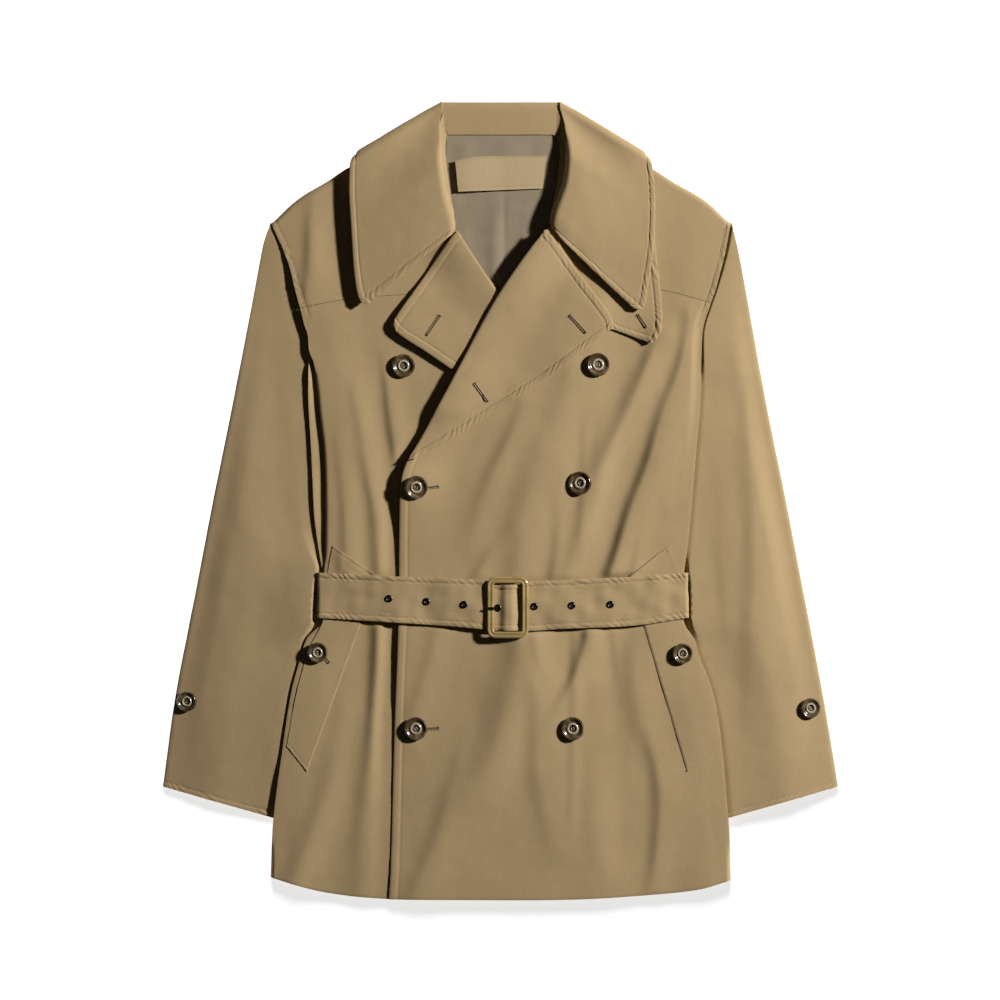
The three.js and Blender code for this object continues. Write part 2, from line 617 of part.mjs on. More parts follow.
// The sleeves: a top and an under layer, joined along both edges, with open cuffs. The body covers
// their inner edges below the armholes.
const SLEEVES = {
  right: {
    outer: [
      { y: -298, x: 0.4 - HALF_SPAN }, { y: -295.5, x: -HALF_SPAN }, { y: -207, x: -339 },
      { y: -103, x: -319 }, { y: 1, x: -299 }, { y: 105, x: -278 }, { y: 209, x: -258 },
      { y: 246, x: -251 }, { y: 270, x: -246 }, { y: 284, x: -241 },
    ],
    inner: [
      [-214, -337], [-206, -290], [-190, -220], [-172, -150], [-158, -80], [-160, -4], [-166, 34],
      [-168, 62], [-165, 84],
    ],
    armhole: [
      [-241, 284], [-227.6, 261], [-219.4, 241], [-205.6, 197], [-200.8, 150], [-194.2, 126],
      [-188, 110], [-177, 94], [-165, 84],
    ],
    folds: RIGHT_SLEEVE_FOLDS,
  },
  left: {
    outer: [
      { y: -298, x: HALF_SPAN - 0.4 }, { y: -295.5, x: HALF_SPAN }, { y: -207, x: 336.5 },
      { y: -103, x: 317 }, { y: 1, x: 297 }, { y: 105, x: 276 }, { y: 209, x: 257 },
      { y: 246, x: 250 }, { y: 270, x: 245 }, { y: 284, x: 242 },
    ],
    inner: [
      [214, -337], [206, -290], [192, -220], [176, -150], [168, -80], [178, -4], [187, 34],
      [189, 62], [186, 84],
    ],
    armhole: [
      [242, 284], [235.6, 258], [226.3, 222], [213, 180], [211.6, 150], [211.4, 128], [208.8, 111],
      [198, 94], [186, 84],
    ],
    folds: LEFT_SLEEVE_FOLDS,
  },
};
const SLEEVE_LAYER = 1.2; // the thickness of each of a sleeve's two layers
const TUCKED_Z = 2 * SLEEVE_LAYER + 0.35; // the top layer's surface where the body covers it
const CUFF_WIDTH = 137;
const ARMHOLE_WIDTH = 190;

// The top layer's height: flat below the body, and softly raised outside it.
function sleeveHeight({ outer, folds }) {
  const edge = column(outer, "x");
  return (x, y) => {
    const width = mix(CUFF_WIDTH, ARMHOLE_WIDTH, smooth(-300, 250, y));
    const inside = Math.max(0, Math.abs(edge(y)) - Math.abs(x));
    const outsideBody = -insideSide(x, y);
    const clear = mix(smooth(10, 34, outsideBody), 1, smooth(122, 174, y));
    const folded = foldHeight(folds, x, y) * smooth(6, 30, inside) * smooth(10, 34, outsideBody);
    const share = inside / width;
    const crown = 1.2 + 2.3 * smooth(0, 0.4, share) * (1 - 0.6 * smooth(0.55, 1, share));
    return TUCKED_Z + (crown * rounding(inside, 8) + folded) * clear;
  };
}

function sleeve(name, shape, side) {
  const { outer, inner, armhole } = shape;
  const [low, high] = [outer[0], outer[outer.length - 1]];
  const plan = patch(
    straight([low.x, low.y], inner[0]),
    line(inner),
    line(armhole),
    edgeLine(outer, low.y, high.y),
  );
  const across = placed([0, 3, 8, 18, 40, 70, 98, 118, 130, 138]);
  cloth("sleeve_top_" + name, {
    across, along: evenly(18), surface: draped(plan, sleeveHeight(shape)), thickness: SLEEVE_LAYER, side,
  });
  cloth("sleeve_under_" + name, {
    across: placed([0, 8, 40, 98, 130, 138]), along: evenly(9), surface: draped(plan, () => 0),
    thickness: SLEEVE_LAYER, side: -side,
  });
}
sleeve("right", SLEEVES.right, 1);
sleeve("left", SLEEVES.left, -1);

// The slanted pocket welts, with their buttons.
const WELT_THICKNESS = 1.2;
const onRight = (x, y) => overRightFront(x, y) + 0.6 + WELT_THICKNESS;
const onLeft = (x, y) => overLeftFront(x, y) + 0.9 + WELT_THICKNESS;
cloth("pocket_welt_right", {
  across: evenly(3), along: evenly(12), thickness: WELT_THICKNESS,
  surface: draped(
    patch(
      straight([-222, -256], [-201, -282]),
      straight([-201, -282], [-127, -79]),
      straight([-174, -47], [-127, -79]),
      line([
        [-222, -256], [-213, -205], [-199, -155], [-184, -124], [-181, -98], [-179, -72], [-174, -47],
      ]),
    ),
    onRight,
  ),
});
cloth("pocket_welt_left", {
  across: evenly(3), along: evenly(12), thickness: WELT_THICKNESS,
  surface: draped(
    patch(
      straight([194, -282], [224, -262]),
      line([[224, -262], [217, -205], [200, -155], [188, -124], [185.5, -98], [184, -72], [175, -47]]),
      straight([131, -75], [175, -47]),
      straight([194, -282], [131, -75]),
    ),
    onLeft,
  ),
});

// The belt: a front strap that passes through the buckle, and a back strap under the coat.
const BELT = [
  { x: -189, top: -75, bottom: -122 }, { x: -105, top: -79, bottom: -127 },
  { x: -40, top: -81.5, bottom: -131.5 }, { x: -16, top: -83, bottom: -134 },
  { x: -4, top: -86.9, bottom: -135.1 }, { x: 19, top: -86.9, bottom: -135.1 },
  { x: 31, top: -84, bottom: -135.5 }, { x: 60, top: -83, bottom: -133.5 },
  { x: 138, top: -79, bottom: -130 }, { x: 194, top: -75, bottom: -122 },
];
const beltTop = column(BELT, "top", "x");
const beltBottom = column(BELT, "bottom", "x");
const BUCKLE = { x: 7.5, y: -111, width: 43, height: 64, bar: 7, depth: 3.8, z: 16.4 };
const BAR = { x: BUCKLE.x + 1, width: 2.6, depth: 1.6 };
const BELT_ENDS = [-190.8, 195.6];
const BELT_COLUMNS = placed([
  0, 1, 3, 7, 14, 30, 55, 82, 108, 134, 158, 174, 182, 186.5, 190.5, 194, 196.3, 200.3, 202.6,
  206, 210, 215, 224, 240, 262, 286, 312, 336, 358, 370, 377, 381, 383.5, 384.8,
]);

function beltHeight(x) {
  const flat = 14 + 1.9 * Math.exp(-(((x + 2) / 80) ** 2));
  const overBar = 3.5 * (1 - smooth(1.8, 7.6, Math.abs(x - BAR.x)));
  const inside = Math.min(x - BELT_ENDS[0], BELT_ENDS[1] - x);
  return mix(5.6, flat + overBar, rounding(inside, 7));
}
cloth("belt_front", {
  across: BELT_COLUMNS, along: evenly(2), thickness: DOUBLE,
  surface: (u, v) => {
    const x = mix(BELT_ENDS[0], BELT_ENDS[1], u);
    return new THREE.Vector3(x, mix(beltBottom(x), beltTop(x), v), beltHeight(x));
  },
});
cloth("belt_back", {
  across: placed([0, 12, 24, 38, 50, 62, 90, 190, 290, 318, 330, 342, 356, 368, 380]), along: evenly(1),
  thickness: 1.3, side: -1,
  surface: (u, v) => {
    const x = mix(BELT_ENDS[0] + 2, BELT_ENDS[1] - 2, u);
    const y = mix(-122, -75, v);
    return new THREE.Vector3(x, y, sleeveRise(0.97 * x, y));
  },
});

function roundedRectangle(Kind, width, height, radius) {
  const outline = new Kind();
  const [w, h] = [width / 2, height / 2];
  const turn = Math.PI / 2;
  outline.absarc(w - radius, h - radius, radius, 0, turn, false);
  outline.absarc(radius - w, h - radius, radius, turn, 2 * turn, false);
  outline.absarc(radius - w, radius - h, radius, 2 * turn, 3 * turn, false);
  outline.absarc(w - radius, radius - h, radius, 3 * turn, 4 * turn, false);
  outline.closePath();
  return outline;
}

const wasm = await Module();
wasm.setup();

// A three.js geometry as a solid that can be joined to another.
function toSolid(geometry) {
  const flat = geometry.index ? geometry.toNonIndexed() : geometry;
  const places = flat.attributes.position;
  const seen = new Map();
  const points = [];
  const corners = [];
  for (let i = 0; i < places.count; i += 1) {
    const key = [places.getX(i), places.getY(i), places.getZ(i)].map((c) => Math.round(c * 1e4)).join();
    if (!seen.has(key)) {
      seen.set(key, points.length / 3);
      points.push(places.getX(i), places.getY(i), places.getZ(i));
    }
    corners.push(seen.get(key));
  }
  const mesh = { numProp: 3, vertProperties: new Float32Array(points), triVerts: new Uint32Array(corners) };
  return new wasm.Manifold(new wasm.Mesh(mesh));
}

function fromSolid(solid) {
  const mesh = solid.getMesh();
  return new THREE.BufferGeometry()
    .setAttribute("position", new THREE.BufferAttribute(mesh.vertProperties, 3))
    .setIndex(new THREE.BufferAttribute(mesh.triVerts, 1));
}

// The buckle: a rounded frame, with the centre bar that the belt passes over.
function buckleFrame() {
  const bevel = 0.8;
  const [width, height] = [BUCKLE.width - 2 * bevel, BUCKLE.height - 2 * bevel];
  const rails = 2 * BUCKLE.bar - 4 * bevel;
  const outline = roundedRectangle(THREE.Shape, width, height, 8);
  outline.holes.push(roundedRectangle(THREE.Path, width - rails, height - rails, 5));
  const frame = new THREE.ExtrudeGeometry(outline, {
    depth: BUCKLE.depth - 2 * bevel, bevelThickness: bevel, bevelSize: bevel, bevelSegments: 1,
    curveSegments: 3,
  });
  frame.translate(0, 0, bevel);
  const bar = new THREE.BoxGeometry(BAR.width, BUCKLE.height - BUCKLE.bar, BAR.depth);
  bar.translate(BAR.x - BUCKLE.x, 0, 0.2 - BAR.depth / 2);
  return fromSolid(toSolid(frame).add(toSolid(bar)));
}
add("buckle_frame", buckleFrame(), BUCKLE_FINISH).position.set(BUCKLE.x, BUCKLE.y, BUCKLE.z);

const prong = new THREE.CylinderGeometry(0.9, 1.1, 11.5, 8);
prong.rotateZ(Math.PI / 2);
const prongMesh = add("buckle_prong", prong, DARK_METAL);
prongMesh.position.set(-7.5, -111.5, BUCKLE.z + BUCKLE.depth + 1.5);

// Sets a piece on a height field, turned to lie along it.
function seat(mesh, height, x, y, above) {
  const step = 4;
  const slopeX = (height(x + step, y) - height(x - step, y)) / (2 * step);
  const slopeY = (height(x, y + step) - height(x, y - step)) / (2 * step);
  const up = new THREE.Vector3(-slopeX, -slopeY, 1).normalize();
  mesh.quaternion.setFromUnitVectors(new THREE.Vector3(0, 0, 1), up);
  mesh.position.set(x, y, height(x, y)).addScaledVector(up, above);
  return mesh;
}

// An eyelet is a small ring, and a button a dish with a ringed centre on a short shank.
const SHANK = 1.1;
const ringProfile = [[1.5, 0], [3, 0], [2.5, 0.9], [1.5, 0.6], [1.5, 0]];
const buttonProfile = (radius) =>
  [
    [0, -SHANK], [0.18, -SHANK], [0.18, 0], [0.8, 0], [1, 0.45], [0.84, 1], [0.54, 0.62], [0.42, 0.74],
    [0.32, 0.4], [0, 0.4],
  ].map(([across, up]) => new THREE.Vector2(across * radius, up < 0 ? up : up * BUTTON_HEIGHT));

function turned(profile, segments) {
  const geometry = new THREE.LatheGeometry(profile, segments);
  geometry.rotateX(Math.PI / 2);
  return geometry;
}

[
  [-116, -102], [-77, -105], [-38, -108], [-3, -111.5], [35, -110], [74, -109], [114, -108],
].forEach(([x, y], i) => {
  const ring = turned(ringProfile.map(([r, z]) => new THREE.Vector2(r, z)), 8);
  seat(add("eyelet_" + (i + 1), ring, DARK_METAL), beltHeight, x, y, 0.35);
});

const onRightSleeve = sleeveHeight(SLEEVES.right);
const onLeftSleeve = sleeveHeight(SLEEVES.left);
const BUTTONS = [
  { name: "button_upper_right", x: -101, y: 140, radius: BUTTON_RADIUS, on: rightFrontHeight },
  { name: "button_upper_left", x: 101, y: 141, radius: BUTTON_RADIUS, on: leftFrontHeight },
  { name: "button_middle_right", x: -88, y: 14, radius: BUTTON_RADIUS, on: leftFrontHeight },
  { name: "button_middle_left", x: 83, y: 18, radius: BUTTON_RADIUS, on: leftFrontHeight },
  { name: "button_lower_right", x: -88, y: -237, radius: BUTTON_RADIUS, on: leftFrontHeight },
  { name: "button_lower_left", x: 75, y: -237, radius: BUTTON_RADIUS, on: leftFrontHeight },
  { name: "button_pocket_right", x: -190, y: -158, radius: SMALL_BUTTON_RADIUS, on: onRight },
  { name: "button_pocket_left", x: 189, y: -159, radius: SMALL_BUTTON_RADIUS, on: onLeft },
  { name: "button_cuff_right", x: -326, y: -209, radius: SMALL_BUTTON_RADIUS, on: onRightSleeve },
  { name: "button_cuff_left", x: 322, y: -216, radius: SMALL_BUTTON_RADIUS, on: onLeftSleeve },
];
for (const button of BUTTONS) {
  const mesh = add(button.name, turned(buttonProfile(button.radius), 12), HORN);
  seat(mesh, button.on, button.x, button.y, SHANK + 0.8);
}

export default coat;
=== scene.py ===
# %% [markdown]
# A short double-breasted trench coat, laid flat on its back with the belt buckled.
# A coat on a table is a stack of thin cloth panels: back, fronts, lapels, collar, belt.
# Each panel is made here as one fine grid that is bent over the layers below it, and then
# given the cloth's thickness. Cloth simulation could settle the layers too, but a pressed coat
# keeps the shape that its maker and presser gave it, and heights worked out from named sizes
# repeat that shape in the same way each time.

import math

import bmesh
import bpy
import numpy as np
from mathutils import Matrix, Vector


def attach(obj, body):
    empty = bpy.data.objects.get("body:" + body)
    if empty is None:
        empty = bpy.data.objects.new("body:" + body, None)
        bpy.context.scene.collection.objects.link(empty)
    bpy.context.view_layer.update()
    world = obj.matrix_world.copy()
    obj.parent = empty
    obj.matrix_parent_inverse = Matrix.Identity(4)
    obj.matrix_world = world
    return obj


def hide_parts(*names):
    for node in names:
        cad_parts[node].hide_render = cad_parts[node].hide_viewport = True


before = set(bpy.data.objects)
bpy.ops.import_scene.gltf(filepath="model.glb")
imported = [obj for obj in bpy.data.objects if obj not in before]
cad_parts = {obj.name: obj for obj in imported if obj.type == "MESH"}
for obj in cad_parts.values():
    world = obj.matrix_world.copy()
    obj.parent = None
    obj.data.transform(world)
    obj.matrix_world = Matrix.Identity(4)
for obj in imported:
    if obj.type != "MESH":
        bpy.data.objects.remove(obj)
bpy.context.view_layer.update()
MM = 0.001
print("nodes in the frame:", len(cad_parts))

# %% [markdown]
# The plan tools. A garment's edges are smooth curves through a few measured points, so a small
# curve tool reads any edge at any height. All sizes below are in millimetres, +Y runs from the
# hem to the collar, and left and right are the wearer's.

# %% Curves in plan


def mix(a, b, t):
    return a + (b - a) * t


def smooth(low, high, value):
    t = np.clip((value - low) / (high - low), 0, 1)
    return t * t * (3 - 2 * t)


def bell(value, width):
    return np.exp(-((value / width) ** 2))


def curve(rows):
    """A smooth curve through rows of (place, value)."""
    places, values = np.array(rows, float).T
    before = np.maximum(np.arange(len(places)) - 1, 0)
    after = np.minimum(np.arange(len(places)) + 1, len(places) - 1)
    slopes = (values[after] - values[before]) / (places[after] - places[before])

    def at(place):
        held = np.clip(place, places[0], places[-1])
        i = np.clip(np.searchsorted(places, held, side="right") - 1, 0, len(places) - 2)
        span = places[i + 1] - places[i]
        t = (held - places[i]) / span
        rest = 1 - t
        ends = values[i] * rest**2 * (1 + 2 * t) + values[i + 1] * t**2 * (3 - 2 * t)
        return ends + span * t * rest * (slopes[i] * rest - slopes[i + 1] * t)

    return at


def line(points):
    """A smooth plan line through points, read from 0 to 1 by its length."""
    points = np.array(points, float)
    reach = np.concatenate([[0], np.cumsum(np.hypot(*np.diff(points, axis=0).T))])
    reach /= reach[-1]
    at_x = curve(np.column_stack([reach, points[:, 0]]))
    at_y = curve(np.column_stack([reach, points[:, 1]]))
    return lambda t: np.array([at_x(t), at_y(t)])


print("a curve through 0, 1 and 0 is", float(curve([(0, 0), (1, 1), (2, 0)])(0.5)), "high on its way up")

# %% [markdown]
# A panel's plan. A pattern maker draws a panel as four edges and lets the cloth fill them. A
# patch does the same: it runs in even steps from the left edge to the right one, and the bends
# of the bottom and top edges fade out inside it. A quarter round is how a cloth edge turns
# down, so it has a tool of its own.

# %% Edges, patches and rounds


def straight(a, b):
    return lambda t: np.array([mix(a[0], b[0], t), mix(a[1], b[1], t)])


def edge_line(rows, low, high):
    """Part of an edge table of (y, x), as a plan line."""
    at = curve(rows)
    inside = [y for y, _ in rows if low + 1 < y < high - 1]
    return line([(float(at(y)), y) for y in [low, *inside, high]])


def patch(bottom, right, top, left, power=1):
    """The plan patch between four lines. A higher power keeps the bends nearer their edges."""
    low = straight(bottom(0.0), bottom(1.0))
    high = straight(top(0.0), top(1.0))

    def at(u, v):
        bend = (bottom(u) - low(u)) * (1 - v) ** power + (top(u) - high(u)) * v**power
        return mix(left(v), right(v), u) + bend

    return at


def rounding(inside, width):
    """A quarter round: 0 at the edge, 1 from width inwards."""
    return np.sqrt(1 - (1 - np.clip(inside / width, 0, 1)) ** 2)


print("a quarter round of 9 mm is", round(float(rounding(4.5, 9)), 3), "of its height half way in")

# %% [markdown]
# The coat's outline. The tables hold the places where an edge changes direction, read off the
# laid-out coat: side folds with the armholes above them, the front edges that turn into the
# lapels' roll lines, the hem and the shoulders. The back peeps out beside the right front from
# the belt to the armhole, so it has a side line of its own, and a curl that lifts that strip.

# %% The outline's tables
RIGHT_SIDE = [
    (-392, -239.4), (-330, -236), (-247, -225), (-197, -217), (-161, -207), (-143, -201),
    (-134, -192), (-127, -185.8), (-98, -184), (-75, -183), (0, -182.5), (51, -184), (95, -189),
    (115, -190.8), (141, -193.5), (156, -199), (172, -200.4), (182, -203.7), (197, -207.5),
    (222, -214.3), (241, -218.8), (261, -226), (288, -238.5),
]
LEFT_SIDE = [
    (-395, 239.8), (-331, 237), (-244, 229), (-197, 220), (-161, 206.5), (-145, 202),
    (-127, 191), (-98, 189.5), (-75, 191), (-35, 196), (51, 203.5), (106, 208), (150, 209),
    (180, 211), (222, 224.5), (258, 233.8), (288, 239.5),
]
LEFT_EDGE = [
    (-415.4, -116), (-383, -114), (-239, -110), (-129, -106), (0, -104.5), (25, -102), (42, -96),
    (65, -82.5), (133, -46), (207, -6), (250, 23), (283, 48),
]
RIGHT_EDGE = [
    (-415.4, 80), (-239, 84), (14, 88), (42, 80), (133, 44), (207, 4), (250, -25), (283, -46),
]
LEFT_ROLL_RISE = [
    (-415, -0.7), (-290, -0.7), (-230, 0.2), (-180, 2), (-140, 2.6), (-100, 1), (-70, 0.6),
    (-49, 1.2), (-24, 3), (6, 7), (26, 9), (46, 5), (62, 3.6), (84, 3.6), (102, 7), (125, 7.4),
    (150, 5), (190, 4.8), (214, 7.6), (245, 10.8), (270, 10), (290, 7), (310, 3.6), (345, 1.4),
    (386, 0),
]
RIGHT_ROLL_RISE = [
    (-415, 0), (180, 0), (221, 3.6), (250, 5.4), (280, 6), (310, 3.6), (345, 1.4), (386, 0),
]
HEM = [
    (-239.4, -392), (-184, -407.5), (-120, -414.6), (-40, -415.7), (70, -415.4), (150, -411),
    (205, -405), (239.8, -395),
]
BELT_TOP = [
    (-189, -75), (-105, -79), (-40, -81.5), (-16, -83), (-4, -86.9), (19, -86.9), (31, -84),
    (60, -83), (138, -79), (194, -75),
]
BELT_BOTTOM = [
    (-189, -122), (-105, -127), (-40, -131.5), (-16, -134), (-4, -135.1), (19, -135.1), (31, -135.5),
    (60, -133.5), (138, -130), (194, -122),
]
RIGHT_BACK_SIDE = [
    (-392, -239.4), (-330, -236), (-247, -225), (-197, -217), (-161, -207), (-143, -201),
    (-134, -192), (-127, -185.8), (-98, -184), (-78, -184.5), (-50, -189.5), (-17, -193.8),
    (19, -195.6), (61, -197.6), (100, -200), (125, -200.4), (156, -200.4), (172, -200.8),
    (182, -204.1), (197, -207.9), (222, -214.7), (241, -219), (261, -226), (288, -238.5),
]
BACK_CURL = [(-75, 0), (-50, 0.6), (0, 1.7), (51, 1.3), (100, 1.9), (120, 2.6), (141, 4.2), (160, 0)]
RIGHT_SHOULDER = [(-66, 386), (-110, 367), (-159, 346), (-179, 333), (-213, 312), (-238.5, 288)]
LEFT_SHOULDER = [(66, 386), (110, 367), (156, 346), (179, 332), (213, 312), (239.5, 288)]

belt_top_y = curve(BELT_TOP)
belt_bottom_y = curve(BELT_BOTTOM)
right_side_x = curve(RIGHT_SIDE)
left_side_x = curve(LEFT_SIDE)
right_back_side_x = curve(RIGHT_BACK_SIDE)
back_curl = curve(BACK_CURL)
left_edge_x = curve(LEFT_EDGE)
right_edge_x = curve(RIGHT_EDGE)
left_roll_rise = curve(LEFT_ROLL_RISE)
right_roll_rise = curve(RIGHT_ROLL_RISE)
print("half the waist, inside the belt:", round(float(left_side_x(-98) - right_side_x(-98))), "mm")

# %% [markdown]
# The back lies on the table, and rises where a sleeve, the belt or the collar is tucked below
# it. Cloth bridges a step instead of following it, so each rise fades in and out over a few
# centimetres. Sums of sine waves with seeded directions stand in for the cloth's small
# accidents, so that nothing runs quite true.

# %% Thicknesses, gaps and the back's rise
SHELL = 1.4
DOUBLE = 2.0
PRESSED_DOUBLE = DOUBLE - 0.2
THIN = 1.0
GAP = 0.6
FRONT_GAP = 0.35
SEAM_GAP = 0.12
RIGHT_FRONT_Z = 6.4
LEFT_FRONT_Z = 8.7
LEFT_ALONE_Z = 6.8
SIDE_Z = 9.6
SIDE_UNDER_BELT_Z = 9.25
SHOULDER_Z = 7.6
ARMHOLE_Z = 9
SLEEVE_LIFT = 3.5
SLEEVE_LIFT_MORE = 2.7
BELT_LIFT = 2.3
COLLAR_LIFT = 2.5
SLEEVE_REACH = (32, 58)
SLEEVE_LOW = (-385, -350)
SLEEVE_HIGH = (121, 154)
RIGHT_LIFT_ENDS = (-150, -128)
COLLAR_LOW = (258, 330)
COLLAR_HALF_WIDTH = (158, 190)
SIDE_ROLL = 4.5
ROLL_WIDTH = 60
BELT_MID_Y = -98.5
BELT_NEAR = (27, 52)
WAVES = np.random.default_rng(7).uniform(-1, 1, (9, 3))


def crumple(x, y, length, seed=0.0):
    """Soft uneven waves, mostly between -1 and 1 and about that long."""
    total = np.zeros(np.shape(x + y))
    for a, b, c in WAVES:
        turn = math.pi * a
        scale = 2 * math.pi / (length * (1 + 0.45 * b))
        wave = np.sin((x * math.cos(turn) + y * math.sin(turn)) * scale + 9 * c + seed * (5 + 3 * b))
        total = total + wave
    return total / 4.2


def inside_side(x, y):
    return np.where(x < 0, x - right_side_x(y), left_side_x(y) - x)


def belt_band(y, flat, out):
    return 1 - smooth(flat, out, np.abs(y - BELT_MID_Y))


def under_belt(x, y):
    top, bottom = belt_top_y(x), belt_bottom_y(x)
    return 1 - smooth(-3, 6, np.abs(y - (top + bottom) / 2) - (top - bottom) / 2)


def sleeve_rise(x, y):
    """How far the sleeves lift the body's sides: more on the left, and below the belt."""
    across = 1 - smooth(*SLEEVE_REACH, inside_side(x, y))
    more = np.where(x < 0, 1 - smooth(*RIGHT_LIFT_ENDS, y), 1 - belt_band(y, *BELT_NEAR))
    lift = SLEEVE_LIFT + SLEEVE_LIFT_MORE * more
    return lift * across * (1 - smooth(*SLEEVE_HIGH, y)) * smooth(*SLEEVE_LOW, y)


def back_underside(x, y):
    collar = COLLAR_LIFT * smooth(*COLLAR_LOW, y) * (1 - smooth(*COLLAR_HALF_WIDTH, np.abs(x)))
    return sleeve_rise(x, y) + BELT_LIFT * belt_band(y, *BELT_NEAR) + collar


def back_top(x, y):
    return back_underside(x, y) + SHELL


def resting_on_back(x, y):
    return back_top(x, y) + FRONT_GAP + SHELL


print("a sleeve lifts the back's side by", round(float(sleeve_rise(220.0, -200.0)), 1), "mm")

# %% [markdown]
# The folds. A fold in pressed cotton is an uneven ridge: one steep flank and one soft one. Each
# row says where a fold starts and ends, where it passes in the middle, how wide its flanks are
# and how high it stands. Most start at the belt, a button or the armhole, where cloth is pulled.

# %% The fold tables
# Fold rows: y0, y1, x0, xm, x1, left flank, right flank, height at the start, middle and end.
LEFT_FOLDS = [
    (186, -84, 199, 158, 111, 8, 26, 2, 4.2, 7),
    (168, 20, 165, 134, 100, 10, 20, 2.6, 4, 1),
    (150, -40, 152, 112, 92, 12, 10, 0.8, 1.6, 0.8),
    (132, -84, 76, 38, 18, 22, 30, 2, 4.2, 3),
    (96, -40, 26, -6, -30, 12, 24, 1.6, 2.8, 1),
    (80, -84, 108, 88, 70, 9, 14, 0.4, 1.5, 2.2),
    (70, -40, 87, 86, 84, 3, 7, 0.7, 0.7, 0.5),
    (30, -84, 62, 60, 54, 6, 12, 0.4, 1.2, 2.6),
    (-20, -84, 150, 146, 138, 7, 14, 0.3, 1, 2.2),
    (-30, -84, 12, -12, -26, 6, 12, 0.4, 1, 2),
    (-128, -225, 92, 80, 54, 6, 20, 5.4, 3.6, 0.5),
    (-150, -330, 77, 76, 74, 3, 8, 1.1, 0.9, 0.6),
    (-134, -330, 20, 6, -40, 22, 34, 5.4, 6.4, 1.2),
    (-240, -415, -30, -58, -88, 12, 26, 0.6, 2.2, 2),
    (-150, -360, 44, 40, 58, 12, 28, 0.6, 2.8, 1),
    (-130, -250, 142, 145, 148, 14, 26, 1.4, 3.2, 1),
    (-230, -400, 152, 168, 158, 9, 24, 0.6, 3.4, 1.6),
    (-130, -250, -60, -78, -92, 10, 16, 1.6, 1.4, 0.6),
    (-132, -200, 118, 122, 128, 6, 14, 1.8, 1.2, 0.4),
    (-132, -190, 34, 40, 50, 5, 12, 1.8, 1, 0.3),
    (-280, -410, 96, 104, 120, 14, 22, 0.5, 1.6, 1),
]
RIGHT_FOLDS = [
    (306, 200, -194, -197, -203, 8, 18, 1.2, 2.4, 0.6),
    (140, 16, -121, -112, -106, 5, 12, 0.8, 2.4, 1.6),
    (110, -78, -150, -134, -124, 8, 15, 1, 2.6, 3.4),
    (60, -76, -168, -162, -158, 6, 12, 0.5, 1.2, 2),
    (-122, -300, -126, -131, -138, 7, 8, 4.4, 3.6, 0.8),
    (-240, -405, -138, -142, -146, 12, 16, 0.8, 2.2, 1.4),
    (-190, -400, -158, -178, -216, 14, 20, 0.6, 3, 2),
]
LEFT_SLEEVE_FOLDS = [
    (240, -290, 240, 264, 252, 15, 36, 1, 3.4, 0.8),
    (60, -320, 288, 296, 296, 26, 30, 0.3, 1.2, 0.4),
    (60, -170, 226, 232, 238, 9, 18, 0.3, 1.8, 0.5),
]
RIGHT_SLEEVE_FOLDS = [
    (220, -280, -240, -266, -272, 34, 40, 0.6, 1.8, 0.6),
    (20, -310, -290, -304, -310, 22, 30, 0.3, 1.2, 0.5),
]


FOLD_WANDER = 0.07
FLANK_WANDER = 0.16
FOLD_END = 26


def fold_height(folds, x, y):
    """The height that a table's folds add at a place."""
    total = np.zeros(np.shape(x + y))
    for y0, y1, x0, xm, x1, left, right, h0, hm, h1 in folds:
        t = (y - y0) / (y1 - y0)
        held = np.clip(t, 0, 1)

        def bend(a, m, b):
            return a * (1 - held) ** 2 + (2 * m - (a + b) / 2) * 2 * held * (1 - held) + b * held**2

        off = x - bend(x0, xm, x1) + FOLD_WANDER * (left + right) * crumple(x, y, 120, x0)
        width = np.where(off < 0, left, right) * (1 + FLANK_WANDER * crumple(x, y, 110, y0))
        fade = 1 - smooth(0, FOLD_END, np.abs(t - held) * abs(y1 - y0))
        total = total + bend(h0, hm, h1) * bell(off, width) * fade
    return total


print("folds:", len(LEFT_FOLDS + RIGHT_FOLDS + LEFT_SLEEVE_FOLDS + RIGHT_SLEEVE_FOLDS))

# %% [markdown]
# The fronts' heights. The right front lies on the back and the left front over both. At its
# side a front rolls down to the back, and at its front edge it stands up where it turns into
# the lapel. The belt presses the folds flat, and they die out at the sides too.

# %% The fronts' heights
SIDE_SLOPE_START = 20
RIGHT_SLOPE_END = 70
LEFT_SLOPE_END = 68
RIGHT_FRONT_END = (92, 128)
ARMHOLE_SEAM = (112, 142)
BELT_PRESS = 0.78
QUIET_SIDE = (2, 12)


def rolled_down(x, y, height):
    rolled = mix(resting_on_back(x, y), height, rounding(inside_side(x, y), SIDE_ROLL))
    return mix(rolled, height, smooth(*ARMHOLE_SEAM, y))


def side_height(y):
    below = mix(SIDE_Z, SIDE_UNDER_BELT_Z, belt_band(y, 24, 46))
    above = mix(ARMHOLE_Z, SHOULDER_Z, smooth(220, 270, y))
    return mix(below, above, smooth(110, 190, y))


def folds_shown(x, y):
    return (1 - BELT_PRESS * under_belt(x, y)) * smooth(*QUIET_SIDE, inside_side(x, y))


def right_front_height(x, y):
    base = mix(side_height(y), RIGHT_FRONT_Z, smooth(SIDE_SLOPE_START, RIGHT_SLOPE_END, inside_side(x, y)))
    roll = right_roll_rise(y) * (1 - smooth(0, ROLL_WIDTH, right_edge_x(y) - x))
    uncovered = 1 - smooth(left_edge_x(y) - 22, left_edge_x(y) - 6, x)
    folds = fold_height(RIGHT_FOLDS, x, y) * (folds_shown(x, y) * uncovered)
    return rolled_down(x, y, base + roll + folds)


